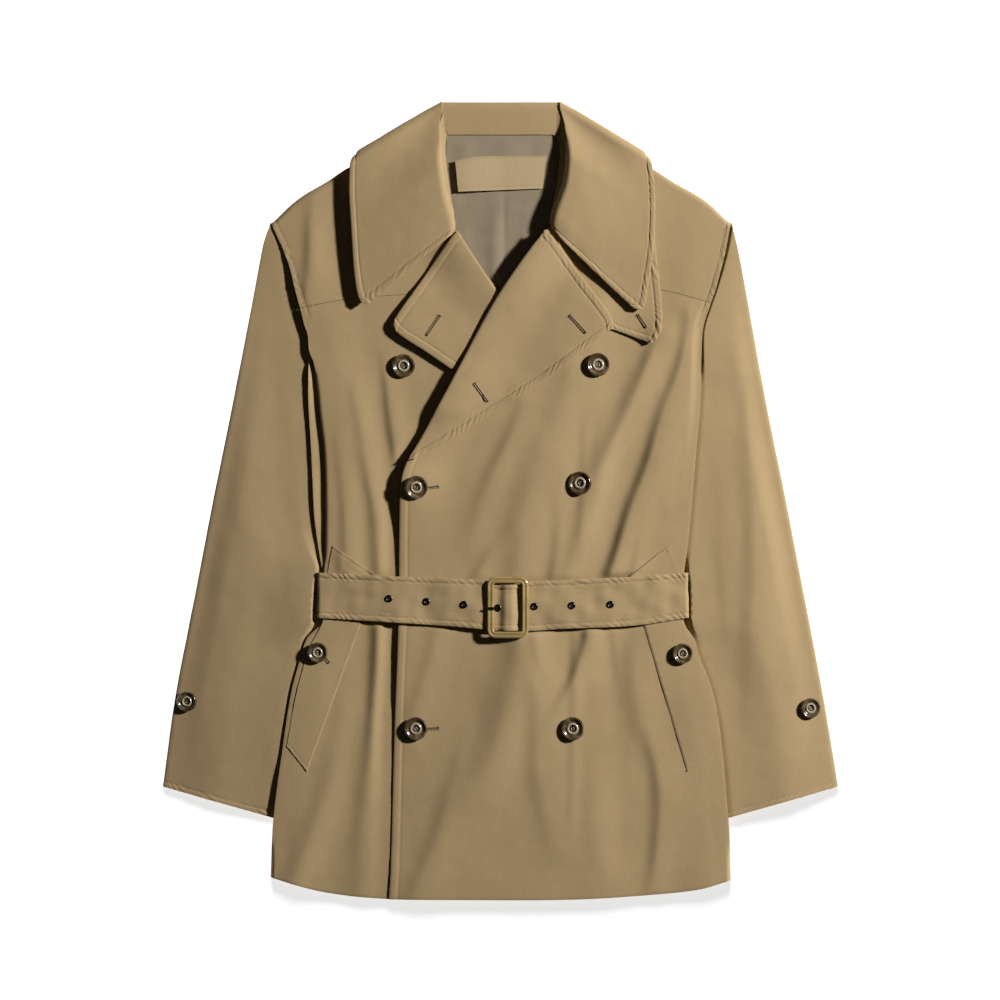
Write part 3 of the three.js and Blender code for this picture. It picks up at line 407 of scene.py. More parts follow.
def left_front_height(x, y):
    middle = mix(LEFT_FRONT_Z, LEFT_ALONE_Z, smooth(*RIGHT_FRONT_END, x))
    base = mix(side_height(y), middle, smooth(SIDE_SLOPE_START, LEFT_SLOPE_END, inside_side(x, y)))
    roll = left_roll_rise(y) * (1 - smooth(0, ROLL_WIDTH, x - left_edge_x(y)))
    return rolled_down(x, y, base + roll + fold_height(LEFT_FOLDS, x, y) * folds_shown(x, y))


def bridging(height):
    """What lies on a surface rests on its highest places nearby."""
    nearby = [(0, 0), (-5, 0), (5, 0), (0, -6), (0, 6)]
    return lambda x, y: np.max([height(x + dx, y + dy) for dx, dy in nearby], axis=0)


over_right_front = bridging(right_front_height)
over_left_front = bridging(left_front_height)
print("the left front over the right:", round(float(left_front_height(0.0, -300.0)), 1), "mm up")

# %% [markdown]
# Finishes. Horn, resin, thread and metal are all slightly uneven in tone, so one tool colours
# a finish with a noise that is fixed in the object's own space, and sets its gloss.

# %% Material tools


def node(tree, kind, **settings):
    made = tree.nodes.new(kind)
    for name, value in settings.items():
        if name in made.inputs:
            made.inputs[name].default_value = value
        else:
            setattr(made, name, value)
    return made


def ramp(tree, factor, stops):
    made = tree.nodes.new("ShaderNodeValToRGB")
    elements = made.color_ramp.elements
    while len(elements) < len(stops):
        elements.new(0.5)
    for element, (place, colour) in zip(elements, stops):
        element.position = place
        element.color = (*colour, 1)
    tree.links.new(factor, made.inputs["Fac"])
    return made.outputs["Color"]


def start_material(name):
    material = bpy.data.materials.new(name)
    material.use_nodes = True
    tree = material.node_tree
    return material, tree, tree.nodes["Principled BSDF"]


def set_shader(shader, **values):
    for name, value in values.items():
        shader.inputs[name.replace("_", " ")].default_value = value


def shade(colour, share):
    return tuple(min(1, part * share) for part in colour)


def uneven_material(name, stops, noise, **values):
    """A finish whose tone wanders with a noise, between the stops of a colour ramp."""
    material, tree, shader = start_material(name)
    coords = node(tree, "ShaderNodeTexCoord")
    wander = node(tree, "ShaderNodeTexNoise", **noise)
    tree.links.new(coords.outputs["Object"], wander.inputs["Vector"])
    tree.links.new(ramp(tree, wander.outputs["Fac"], stops), shader.inputs["Base Color"])
    set_shader(shader, **values)
    return material


def thread_material(name, colour):
    stops = [(0.3, shade(colour, 0.8)), (0.7, colour)]
    return uneven_material(name, stops, {"Scale": 900.0, "Detail": 2.0}, Roughness=0.6, Sheen_Weight=0.3)


def plain_material(name, colour, roughness, scale=220.0, spread=0.25, **values):
    """A hard finish with a little uneven tone."""
    stops = [(0.35, shade(colour, 1 - spread)), (0.65, shade(colour, 1 + spread))]
    return uneven_material(name, stops, {"Scale": scale, "Detail": 4.0}, Roughness=roughness, **values)


thread = thread_material("khaki_thread", (0.43, 0.31, 0.165))
print("a finish for the topstitching:", thread.name)

# %% [markdown]
# Gabardine is a tight cotton twill: fine steep ribs, a dry matt face with a faint sheen, and
# slightly uneven yarns that show as thin streaks. The ribs are half a millimetre apart, so
# they belong in the bump, with the streaks and a soft mottle in the colour.

# %% The cloths
TWILL_ANGLE = math.radians(27)
YARN_STRETCH = (900, 60, 1)


def cloth_material(name, colour, roughness, sheen, rib=0.00055, rib_depth=0.00005, streak=0.07):
    """A woven cloth, whose ribs and streaks follow the piece's own grain."""
    material, tree, shader = start_material(name)
    links = tree.links
    uv = node(tree, "ShaderNodeUVMap", uv_map="grain")
    place = node(tree, "ShaderNodeTexCoord")
    steep = node(tree, "ShaderNodeMapping", Rotation=(0, 0, TWILL_ANGLE))
    links.new(uv.outputs["UV"], steep.inputs["Vector"])
    ribs = node(tree, "ShaderNodeTexWave", Scale=2 * math.pi / (20 * rib), Distortion=0.4)
    links.new(steep.outputs["Vector"], ribs.inputs["Vector"])
    long_yarn = node(tree, "ShaderNodeMapping", Scale=YARN_STRETCH)
    links.new(uv.outputs["UV"], long_yarn.inputs["Vector"])
    yarns = node(tree, "ShaderNodeTexNoise", Scale=1.0, Detail=3.0, Roughness=0.6)
    links.new(long_yarn.outputs["Vector"], yarns.inputs["Vector"])
    mottle = node(tree, "ShaderNodeTexNoise", Scale=14.0, Detail=5.0, Roughness=0.62)
    links.new(place.outputs["Object"], mottle.inputs["Vector"])
    both = node(tree, "ShaderNodeMix", data_type="FLOAT")
    both.inputs[0].default_value = 0.45
    links.new(yarns.outputs["Fac"], both.inputs[2])
    links.new(mottle.outputs["Fac"], both.inputs[3])
    stops = [(0.34, shade(colour, 1 - streak)), (0.5, colour), (0.66, shade(colour, 1 + streak))]
    links.new(ramp(tree, both.outputs[0], stops), shader.inputs["Base Color"])
    set_shader(shader, Roughness=roughness, Sheen_Weight=sheen, Sheen_Roughness=0.45, Specular_IOR_Level=0.12)
    yarn_bump = node(tree, "ShaderNodeBump", Strength=0.25, Distance=0.0001)
    links.new(yarns.outputs["Fac"], yarn_bump.inputs["Height"])
    rib_bump = node(tree, "ShaderNodeBump", Strength=0.35, Distance=rib_depth)
    links.new(ribs.outputs["Fac"], rib_bump.inputs["Height"])
    links.new(yarn_bump.outputs["Normal"], rib_bump.inputs["Normal"])
    links.new(rib_bump.outputs["Normal"], shader.inputs["Normal"])
    return material


KHAKI = (0.395, 0.28, 0.143)
gabardine = cloth_material("khaki_gabardine", KHAKI, 0.85, 0.04)
gabardine_band = cloth_material("khaki_band", (0.45, 0.335, 0.19), 0.72, 0.1)
lining_cloth = cloth_material("lining_satin", (0.285, 0.228, 0.152), 0.5, 0.05, 0.0004, 0.00002)
print("cloth materials:", gabardine.name, gabardine_band.name, lining_cloth.name)

# %% [markdown]
# Measuring a surface. A panel's surface is read by u across it and v along it, each from 0 to
# 1. Seams lie at millimetres from an edge, so the tool first measures how long the surface is
# at each u and v, and which way its face looks. Its four edges are named u0, u1, v0 and v1.

# %% Surfaces and their edges


def eased(count, share=0.45):
    t = np.linspace(0, 1, count + 1)
    return t - share * np.sin(2 * math.pi * t) / (2 * math.pi)


def spans(base):
    """How long a surface's rows and columns are: two curves, each read from 0 to 1."""
    t = np.linspace(0, 1, 25)
    u, v = np.meshgrid(t, t, indexing="ij")
    points = base(u, v)
    rows = np.linalg.norm(np.diff(points, axis=1), axis=0).sum(axis=0)
    columns = np.linalg.norm(np.diff(points, axis=2), axis=0).sum(axis=1)
    return curve(np.column_stack([t, rows])), curve(np.column_stack([t, columns]))


def draped(plan, height):
    def at(u, v):
        x, y = plan(u, v)
        return np.array([x, y, height(x, y) + 0 * x])

    return at


def normals_of(surface, u, v, side):
    step = 0.003
    along_u = surface(np.minimum(1, u + step), v) - surface(np.maximum(0, u - step), v)
    along_v = surface(u, np.minimum(1, v + step)) - surface(u, np.maximum(0, v - step))
    out = np.cross(along_u, along_v, axis=0) * side
    return out / np.maximum(np.linalg.norm(out, axis=0), 1e-9)


def from_edge(edge, u, v, across, along):
    """The distance from an edge, and the place along it, in millimetres."""
    if edge == "u0":
        return u * across(v), v * along(0.0)
    if edge == "u1":
        return (1 - u) * across(v), v * along(1.0)
    if edge == "v0":
        return v * along(u), u * across(0.0)
    return (1 - v) * along(u), u * across(1.0)


small_panel = draped(lambda u, v: (30 * u, 40 * v), lambda x, y: 0 * x)
print("a panel of 30 by 40 mm measures", [round(float(reach(0.5)), 1) for reach in spans(small_panel)])

# %% [markdown]
# Stitched edges. Topstitching pulls cotton in, so each stitched edge gets a raised band where
# the seam allowance lies inside, a groove under the thread, and small uneven puckers that lean
# across it. A turned edge rounds down to the layer below.

# %% Stitched and turned edges
SEAM_BAND = 0.4
GROOVE = 0.5
GROOVE_WIDTH = 0.9
PUCKER_LEAN = 1.1
PUCKER_REACH = 5
TURNED_ROUND = 2.4
TURNED_DROP = 0.9


def puckers(away, place, pull, seed):
    """Small ridges that lean across a seam: their beat wanders, and so does their strength."""
    slant = (0.85 * place + math.copysign(PUCKER_LEAN, pull) * away) / 1.15
    beat = np.sin(slant + 2.6 * np.sin(place / 11 + seed) + 1.3 * np.sin(place / 4.7 + 2 * seed))
    wander = np.sin(place / 8.3 + 2 * np.sin(place / 31 + seed))
    return 0.8 * abs(pull) * (0.55 + 0.45 * wander) * beat


def stitched(base, side, seams, turned=(), waves=0.16, seed=0.0):
    """The surface with its seams, turned edges and soft crumples. A seam is its edge, how far
    in the thread runs, how strongly it pulls (its sign is the puckers' lean) and where it starts."""
    across, along = spans(base)

    def at(u, v):
        points = base(u, v)
        lift = waves * crumple(points[0], points[1], 52, seed)
        lift = lift + 0.35 * waves * crumple(points[0], points[1], 19, seed + 2)
        near = np.ones_like(lift)
        for edge, inset, pull, start in seams:
            away, place = from_edge(edge, u, v, across, along)
            shown = smooth(start, start + 0.04, v if edge[0] == "u" else u) if start else 1
            band = SEAM_BAND * (1 - smooth(inset - 1, inset + 0.6, away))
            groove = -GROOVE * bell(away - inset, GROOVE_WIDTH)
            pucker = puckers(away, place, pull, seed) * bell(away - inset + 3, PUCKER_REACH)
            lift = lift + (band + groove + pucker) * shown
        for edge in turned:
            away, _ = from_edge(edge, u, v, across, along)
            near = np.minimum(near, rounding(away + 0.25, TURNED_ROUND))
        lift = lift - TURNED_DROP * (1 - near)
        return points + normals_of(base, u, v, side) * lift

    return at


print("a seam's band stands", SEAM_BAND, "mm up and its groove is", GROOVE, "mm deep")

# %% [markdown]
# One tool makes every cloth panel. It starts from a flat grid, moves each corner of the grid
# to the panel's surface, and turns the sheet into a wall of the cloth's thickness. The grid is
# finer near its edges, where cloth turns over. The panel's own UV map is in metres, so that
# the weave keeps its real size and follows the grain of each piece.

# %% The cloth tool
CELL = 2.6


def finish_piece(name, mesh, material, replaced=()):
    """Adds a mesh to the scene as a piece of the coat."""
    piece = bpy.data.objects.new(name, mesh)
    bpy.context.scene.collection.objects.link(piece)
    mesh.materials.clear()
    mesh.materials.append(material)
    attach(piece, "root")
    if replaced:
        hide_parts(*replaced)
    return piece


def mark_sharp(bm, angle=50):
    for edge in bm.edges:
        edge.smooth = edge.calc_face_angle(0) < math.radians(angle)
    for face in bm.faces:
        face.smooth = True


def cloth(
    name, solid, surface, thickness, side, material=gabardine, slot="cloth", cell=CELL, rests_on=(), turn=0.0
):
    """One cloth panel: a grid bent to the surface, with its thickness below it."""
    across, along = spans(surface)
    width = float(np.max(across(np.linspace(0, 1, 9))))
    length = float(np.max(along(np.linspace(0, 1, 9))))
    columns = max(6, round(width / cell))
    rows = max(6, round(length / cell))
    bm = bmesh.new()
    uv_layer = bm.loops.layers.uv.new("grain")
    bmesh.ops.create_grid(bm, x_segments=columns, y_segments=rows, size=0.5)
    flat = np.array([vert.co for vert in bm.verts])
    u = eased(columns)[np.rint((flat[:, 0] + 0.5) * columns).astype(int)]
    v = eased(rows, 0.3)[np.rint((flat[:, 1] + 0.5) * rows).astype(int)]
    places = (surface(u, v) * MM).T
    places[:, 2] = np.maximum(places[:, 2], 0)
    bm.verts.index_update()
    for vert, place in zip(bm.verts, places):
        vert.co = place
    grain = Matrix.Rotation(turn, 2)
    for face in bm.faces:
        for loop in face.loops:
            at = loop.vert.index
            loop[uv_layer].uv = grain @ Vector((u[at] * width * MM, v[at] * length * MM))
    if side < 0:
        bmesh.ops.reverse_faces(bm, faces=bm.faces[:])
    bm.normal_update()
    area = sum(face.calc_area() for face in bm.faces)
    bmesh.ops.solidify(bm, geom=bm.faces[:], thickness=thickness * MM)
    mark_sharp(bm)
    mesh = bpy.data.meshes.new(name)
    bm.to_mesh(mesh)
    bm.free()
    piece = finish_piece(name, mesh, material, [solid])


def sewn(name, solid, base, thickness, side, seams=(), turned=(), waves=0.16, seed=0.0, **settings):
    """A cloth panel with its seams and turned edges. Returns its surface, for the thread."""
    surface = stitched(base, side, seams, turned, waves, seed)
    cloth(name, solid, surface, thickness, side, **settings)
    return surface


# %% [markdown]
# The back and what shows inside the neck. The lining hangs from the neck seam with a small
# ease pleat and a centre seam, and a plain strip of the shell cloth is sewn across it.

# %% Back, lining and neck strip
NECK_EDGE = [(-58, 380), (-50, 379.4), (42, 379.4), (52, 380)]


def back_height(x, y):
    """The back's underside, with the curl of the strip that shows beside the right front."""
    shown = right_side_x(y) - right_back_side_x(y)
    near = 1 - smooth(0, 0.6 * shown + 0.5, x - right_back_side_x(y))
    return back_underside(x, y) + back_curl(y) * near * smooth(1, 5, shown)


back_plan = patch(
    line(HEM),
    edge_line(LEFT_SIDE, -395, 288),
    line([*reversed(RIGHT_SHOULDER), *NECK_EDGE, *LEFT_SHOULDER]),
    edge_line(RIGHT_BACK_SIDE, -392, 288),
    3,
)
cloth("back_panel", "back", draped(back_plan, back_height), SHELL, -1, cell=4.5)


def lining_height(x, y):
    seam = -0.5 * bell(x - 4, 1.6) * smooth(320, 314, y)
    pleat = 1.3 * bell(x + 7 - 0.05 * (y - 240), 7) * smooth(186, 215, y) * (1 - smooth(282, 318, y))
    sewn = 1 - smooth(366, 379, y)
    pull = 0.6 * np.sin(x / 7.5 + 0.3) * smooth(330, 362, y) * bell(x, 60) * sewn
    gap = 0.3 + 0.5 * sewn
    return back_top(x, y) + gap + THIN + seam + pleat + pull + 0.25 * crumple(x, y, 24, 4) * sewn


lining_plan = patch(
    straight((-60, 186), (62, 186)), straight((62, 186), (54, 382.5)),
    straight((-56, 382.5), (54, 382.5)), straight((-60, 186), (-56, 382.5)),
)
cloth(
    "neck_lining", "back_lining", draped(lining_plan, lining_height), THIN, 1, lining_cloth,
    slot="lining", cell=2, rests_on=["back_panel"],
)


def strip_height(x, y):
    lifted_end = 2.6 * smooth(6, -44, x)
    return back_top(x, y) + 2.9 + THIN + 0.8 * (1 - (x / 48) ** 2) + lifted_end


strip_plan = patch(
    straight((-44, 321), (44, 324.5)), straight((44, 324.5), (48, 358.5)),
    line([(-47, 353), (-20, 357.5), (48, 358.5)]), straight((-44, 321), (-47, 353)),
)
sewn(
    "neck_strip", "neck_tab", draped(strip_plan, strip_height), THIN, 1,
    [("v0", 2, 0.1, 0), ("v1", 2, 0.1, 0)], waves=0.1, material=gabardine_band, cell=1.6,
    rests_on=["neck_lining"],
)

# %% [markdown]
# The fronts. Each one runs from its side fold to its front edge, whose upper part is the
# lapel's roll line. Where the front turns over at the roll it stands up off the layer below,
# and that is what throws the long dark shadow beside the left front's edge.

# %% Fronts
right_yoke_seam = line([(-208.4, 200), (-160, 209), (-100, 214), (-1, 216)])
left_yoke_seam = line([(12, 234), (100, 226), (167, 219), (219.5, 205.5)])


def hem_part(start, end):
    middle = [point for point in HEM if start[0] + 8 < point[0] < end[0] - 8]
    return line([start, *middle, end])


def lifted(edge):
    return lambda t: edge(t) + np.array([0 * t, 0 * t + SEAM_GAP])


front_right_base = draped(
    patch(
        hem_part((-239.4, -392), (80, -415)), edge_line(RIGHT_EDGE, -415, 216), right_yoke_seam,
        edge_line(RIGHT_SIDE, -392, 200), 3,
    ),
    right_front_height,
)
sewn(
    "front_right_panel", "front_right", front_right_base, SHELL, 1, [("u0", 6, 0.3, 0.965)], ["v0"],
    seed=1.0, rests_on=["back_panel"],
)

front_left_base = draped(
    patch(
        hem_part((-116, -415), (239.8, -395)), edge_line(LEFT_SIDE, -395, 205.5), left_yoke_seam,
        edge_line(LEFT_EDGE, -415, 234), 3,
    ),
    left_front_height,
)
front_left_surface = sewn(
    "front_left_panel", "front_left", front_left_base, SHELL, 1,
    [("u0", 8, 0.06, 0), ("u1", 6, -0.3, 0.965)], ["u0", "v0"], seed=3.0,
    rests_on=["front_right_panel", "back_panel"],
)

# %% [markdown]
# The yokes. A yoke goes on from its front at the seam across the chest, with the same height,
# and turns down over the shoulder until it rests on the back. A thin gap is left at the seam.

# %% Yokes
YOKE_LENGTH = 130
SHOULDER_ROLL = 8


def yoke_surface(plan, front):
    def at(u, v):
        x, y = plan(u, v)
        rise = rounding((1 - v) * YOKE_LENGTH, SHOULDER_ROLL)
        return np.array([x, y, mix(resting_on_back(x, y), front(x, y), rise)])

    return at


yoke_right_plan = patch(
    lifted(right_yoke_seam),
    line([(-1, 216.4), (-25, 250), (-46, 281), (-63, 296), (-76, 322), (-76, 352), (-66, 386)]),
    line(RIGHT_SHOULDER[::-1]), edge_line(RIGHT_SIDE, 200.4, 288),
)
yoke_left_plan = patch(
    lifted(left_yoke_seam), edge_line(LEFT_SIDE, 205.9, 288), line(LEFT_SHOULDER),
    line([(12, 234.4), (23, 250), (48, 281), (66, 294), (82, 320), (80, 352), (66, 386)]),
)
sewn(
    "yoke_right_panel", "yoke_right", yoke_surface(yoke_right_plan, right_front_height), SHELL, 1,
    [("u0", 5, 0.4, 0)], seed=5.0, rests_on=["back_panel"],
)
sewn(
    "yoke_left_panel", "yoke_left", yoke_surface(yoke_left_plan, left_front_height), SHELL, 1,
    [("u1", 5, -0.35, 0)], seed=6.0, rests_on=["back_panel"],
)

# %% [markdown]
# The lapels. A lapel is the front's own edge turned back over the chest. It is two cloths
# thick, with a stitched edge, and its tip springs up a little off the front. The right lapel
# is lifted again where the left one's roll lies over it.

# %% Lapels
LEFT_TIP = (116, 183)
RIGHT_TIP = (-110, 181)
LAPEL_OVER = GAP + DOUBLE + 0.25
LAPEL_AT_ROLL = 0.3 + DOUBLE * 0.6
LAPEL_SPRING = 4.2
LIFT_BY_LEFT = 2.6


def nearness(x, y, point, reach):
    return 1 - smooth(0, reach, np.hypot(x - point[0], y - point[1]))


def lapel_over(from_roll, over):
    """How far a lapel lies over its front: close at the roll, and higher from there on."""
    return mix(LAPEL_AT_ROLL, over, rounding(from_roll + 0.4, 4))


def left_lapel_height(x, y):
    over = LAPEL_OVER + LAPEL_SPRING * nearness(x, y, LEFT_TIP, 120)
    return over_left_front(x, y) + lapel_over(x - left_edge_x(y), over)


def right_lapel_height(x, y):
    past_left_edge = x - left_edge_x(y)
    near_left_edge = smooth(100, 20, -past_left_edge) * smooth(22, 2, past_left_edge)
    raised = LIFT_BY_LEFT * near_left_edge * smooth(240, 205, y)
    over = LAPEL_OVER + LAPEL_SPRING * nearness(x, y, RIGHT_TIP, 80) + raised
    return over_right_front(x, y) + lapel_over(right_edge_x(y) - x, over)


lapel_left_base = draped(
    patch(
        straight((-95.4, 42.6), (-88, 43.2)),
        line([(-88, 43.2), (-41, 69), (-9, 90), (24, 111), (59, 135), (94, 162), (117, 179)]),
        line([(47.4, 281), (56, 272.4), (86, 231), (114.5, 192), (117, 179)]),
        edge_line(LEFT_EDGE, 43, 281),
    ),
    left_lapel_height,
)
lapel_left_surface = sewn(
    "lapel_left_panel", "lapel_left", lapel_left_base, PRESSED_DOUBLE, 1,
    [("u1", 8, -0.4, 0), ("v1", 8, -0.45, 0)], ["u1", "v1"], seed=7.0, cell=1.4,
    rests_on=["front_left_panel"], turn=math.radians(-30),
)
lapel_right_base = draped(
    patch(
        straight((10, 196), (-34, 127)),
        line([(-34, 127), (-47, 134), (-78, 155), (-107, 174), (-111.5, 182)]),
        line([(-44.8, 280), (-52, 272.4), (-82, 229), (-109, 190), (-111.5, 182)]),
        edge_line(RIGHT_EDGE, 196, 280),
    ),
    right_lapel_height,
)
lapel_right_surface = sewn(
    "lapel_right_panel", "lapel_right", lapel_right_base, PRESSED_DOUBLE, -1,
    [("u1", 8, 0.2, 0), ("v1", 8, 0.2, 0)], ["u1", "v1"], seed=8.0, cell=1.6,
    rests_on=["front_right_panel"], turn=math.radians(30),
)

# %% [markdown]
# The storm flap is a second layer over the left chest. It is caught in the yoke's seam, tucked
# under the lapel and the collar, and buttoned at its outer corner.

# %% Storm flap
FLAP = DOUBLE - 0.6
FLAP_TIP = (162, 166)
FLAP_SPRING = 1.4
FLAP_TUCK = 0.5


def flap_height(x, y):
    tucked = FLAP_TUCK * smooth(112, 88, x)
    spring = FLAP_SPRING * nearness(x, y, FLAP_TIP, 60)
    return over_left_front(x, y) + GAP + DOUBLE - 0.4 - tucked + spring


flap_base = draped(
    patch(
        line([(94, 186), (104, 181), (118, 177.5), (156, 164), (161, 165)]),
        line([(161, 165), (167.5, 179), (167.5, 204), (162, 258), (158, 322)]),
        straight((62, 292), (158, 322)), line([(94, 186), (74, 240), (60, 268), (62, 292)]),
    ),
    flap_height,
)
flap_surface = sewn(
    "storm_flap_panel", "storm_flap", flap_base, FLAP, 1,
    [("v0", 6, 0.5, 0), ("u1", 7, -0.45, 0)], ["v0", "u1"], seed=9.0, cell=1.4,
    rests_on=["front_left_panel", "yoke_left_panel"],
)

# %% [markdown]
# The collar's stand rises from the neck seam to the roll line. Each row of its table holds a
# point of the seam and the point of the roll above it, and the band runs straight between.

# %% Collar stand
STAND = np.array([
    (-49.2, 297, 9.5, -52, 296, 12.6), (-53, 320, 8.6, -59, 321, 11.8),
    (-57.3, 352, 7.2, -64, 358, 10.6), (-57.5, 374, 5.4, -64.5, 386, 8),
    (-54, 381.6, 4.4, -59, 404, 5.2), (-44, 382.6, 3.7, -48, 407.4, 4.1),
    (0, 382.6, 3.6, 0, 407.4, 4.1), (40, 382.6, 3.7, 48, 407.4, 4.1),
    (52, 381.6, 4.4, 59.5, 404, 5.2), (60, 374, 5.4, 68, 386, 8),
    (62, 352, 7.2, 70, 358, 10.6), (57.5, 320, 8.6, 64, 321, 11.8),
    (52.7, 297, 9.5, 56, 296, 12.6),
])
stand_steps = np.linspace(0, 1, len(STAND))
stand_at = [curve(np.column_stack([stand_steps, STAND[:, k]])) for k in range(6)]


def stand_surface(u, v):
    seam = np.array([at(u) for at in stand_at[:3]])
    roll = np.array([at(u) for at in stand_at[3:]])
    return mix(seam, roll, v)


sewn(
    "collar_stand_panel", "collar_stand", stand_surface, PRESSED_DOUBLE, -1, waves=0.1, cell=2,
    rests_on=["back_panel"],
)

# %% [markdown]
# The collar's leaves. The fall turns over the stand along the roll line and lies out over the
# shoulders. At the shoulder line each leaf turns again, down behind the coat. That is why the
# leaf is a surface in two stretches: a flat one in front, and a half round that wraps over the
# shoulder to the collar's back. u runs from the roll to the outer edge, v from the tip up.

# %% Collar leaves
FLAT_SHARE = 2 / 3
FOLD_TOP = (8.6, 17.5)
FOLD_BULGE = (7, 9.4)
CREST_Z = 22
CREST_FALL = 3.6
ROLL_Z = 14.6
ROLL_SHARE = 0.07


def leaf_height(u, v, swell, drop, turn_start):
    """The leaf's top: a crest near the roll, which falls to the fold at the shoulder."""
    crest = CREST_Z - CREST_FALL * smooth(0.15, 1, u)
    swollen = smooth(0.02, 0.2, v) * (1 - smooth(0.45, 0.8, v)) * (1 - smooth(0.1, 0.6, u))
    crest = crest + swell * swollen - drop * smooth(0.08, 0.35, u) * (1 - smooth(0, 0.4, v))
    fold_top = mix(*FOLD_TOP, smooth(0, 0.85, u))
    flat = mix(crest - 0.8 * (1 - v), fold_top, smooth(turn_start, 1, v))
    rolled = mix(np.minimum(ROLL_Z, flat - 1), flat, rounding(u, ROLL_SHARE))
    return mix(rolled, flat, smooth(0.82, 1, v))


def leaf_surface(roll, outer, lower, bulge, swell=0.0, drop=0.0, turn_start=0.5):
    """A leaf from its plan lines. The bulge is the way out of the shoulder's fold."""
    plan = patch(line(lower), line(outer), straight(roll[-1], outer[-1]), line(roll))

    def at(u, v):
        flat = np.minimum(1, v / FLAT_SHARE)
        x, y = plan(u, flat)
        turn = np.clip((v - FLAT_SHARE) / (1 - FLAT_SHARE), 0, 1) * math.pi
        out = mix(*FOLD_BULGE, u) * np.sin(turn)
        z = leaf_height(u, flat, swell, drop, turn_start) / 2 * (1 + np.cos(turn))
        begun = smooth(0, 0.15, u)
        slanted = begun * (1 - 1.4 * smooth(0.84, 1, u))
        return np.array([x + bulge[0] * slanted * out, y + mix(1, bulge[1], begun) * out, z])

    return at


leaf_right_base = leaf_surface(
    [(-50, 276), (-46.5, 286), (-55, 320), (-61, 358), (-63, 388), (-61, 408.5)],
    [(-139, 203), (-146, 208), (-151, 231), (-155, 285), (-157, 320), (-156.5, 348.5)],
    [(-50, 276), (-92, 242), (-124, 214), (-139, 203)],
    (-0.545, 0.838),
)
leaf_left_base = leaf_surface(
    [(57, 276.6), (51, 290), (64, 330), (68, 361), (67, 388), (62, 408.5)],
    [(139, 199), (148, 199), (153, 222), (159, 263), (160.5, 316), (157.5, 347.5)],
    [(57, 276.6), (93, 242), (115, 221), (139, 199)],
    (0.545, 0.838), 2.5, 2.6, 0.62,
)
leaf_right_surface = sewn(
    "collar_leaf_right_panel", "collar_leaf_right", leaf_right_base, DOUBLE, -1,
    [("u1", 6.5, 0.08, 0), ("v0", 7, 0.45, 0)], ["u1", "v0"], seed=10.0, cell=1.5,
    rests_on=["yoke_right_panel"],
)
leaf_left_surface = sewn(
    "collar_leaf_left_panel", "collar_leaf_left", leaf_left_base, DOUBLE, 1,
    [("u1", 7, -0.42, 0), ("v0", 7, 0.3, 0)], ["u1", "v0"], seed=11.0, cell=1.5,
    rests_on=["yoke_left_panel", "storm_flap_panel"],
)

# %% [markdown]
# The collar's back lies flat on the table behind the shoulders, and a band joins it to the
# stand over the neck's top edge. The band's table is its path from the stand, over and down.

# %% Collar back and neck band
collar_back_plan = patch(
    line([(-147.5, 349.2), (-90, 343), (88, 343), (144.5, 349.2)]),
    straight((144.5, 349.2), (60.5, 407.6)), straight((-59.5, 407.6), (60.5, 407.6)),
    straight((-147.5, 349.2), (-59.5, 407.6)),
)
on_the_table = draped(collar_back_plan, lambda x, y: 0 * x)
cloth("collar_back_panel", "collar_back", on_the_table, DOUBLE, -1, cell=6)

BAND_PATH = np.array([
    (380.6, 6.8), (386, 7), (395, 7), (405, 6.8), (410.6, 6), (413.8, 4.6), (414.7, 3), (413, 1.2),
    (409, 0.1),
])
band_reach = np.linspace(0, 1, len(BAND_PATH))
band_y = curve(np.column_stack([band_reach, BAND_PATH[:, 0]]))
band_z = curve(np.column_stack([band_reach, BAND_PATH[:, 1]]))


def collar_band_surface(u, v):
    half = mix(56, 62, smooth(0, 0.3, v))
    return np.array([mix(-half, half, u) + 0.5, band_y(v) + 0 * u, band_z(v) + 0 * u])


sewn(
    "collar_band_panel", "collar_fold", collar_band_surface, 1.2, 1, waves=0.08, seed=18.0, cell=2,
    rests_on=["collar_stand_panel"],
)

# %% [markdown]
# The sleeves' outlines. A laid-out sleeve is a flat tube: a top layer and an under layer that
# meet at two folded edges, with an open cuff. The body lies over the inner edges. Each row of
# a "beside" table says, at a height y, how far outside the body's side the sleeve starts to
# rise, over what width, and how high it stands at the side, where the body lifts it.

# %% The sleeves' outlines
SLEEVE_LAYER = 1.2
TUCKED_Z = 2 * SLEEVE_LAYER + 0.35
RIGHT_SLEEVE = {
    "outer": [
        (-298, -350.6), (-295.5, -351), (-207, -339), (-103, -319), (1, -299), (105, -278),
        (209, -258), (246, -251), (270, -246), (289, -239),
    ],
    "inner": [
        (-214, -337), (-206, -290), (-190, -220), (-172, -150), (-158, -80), (-160, -4),
        (-166, 34), (-168, 62), (-165, 84),
    ],
    "armhole": [
        (-239, 289), (-229, 275), (-221, 258), (-214, 241), (-200.6, 197), (-195.8, 150),
        (-189.2, 126), (-183, 110), (-176, 94), (-165, 84),
    ],
    "folds": RIGHT_SLEEVE_FOLDS,
    "crown": 2.6,
    "beside": [
        (-330, 0, 12, 4), (-305, -4, 12, 4.6), (-262, -9, 14, 6.8), (-200, -9, 14, 7.4),
        (-150, -8, 13, 7.6), (-125, 7.5, 4, 10.2), (-90, 7.5, 4, 10.2), (-70, 4, 5, 8.5),
        (-50, 9, 10, 5.5),
        (-20, 14, 14, 4), (20, 16, 16, 3.6), (60, 17, 16, 3.4), (100, 13, 20, 3.3), (120, 8, 25, 3.3),
        (140, 2, 30, 3.3), (160, 0, 30, 3.3), (215, 0, 20, 3.6), (240, -1, 8, 4.4), (262, -2, 6, 5.6),
        (288, -2, 6, 6.6),
    ],
}
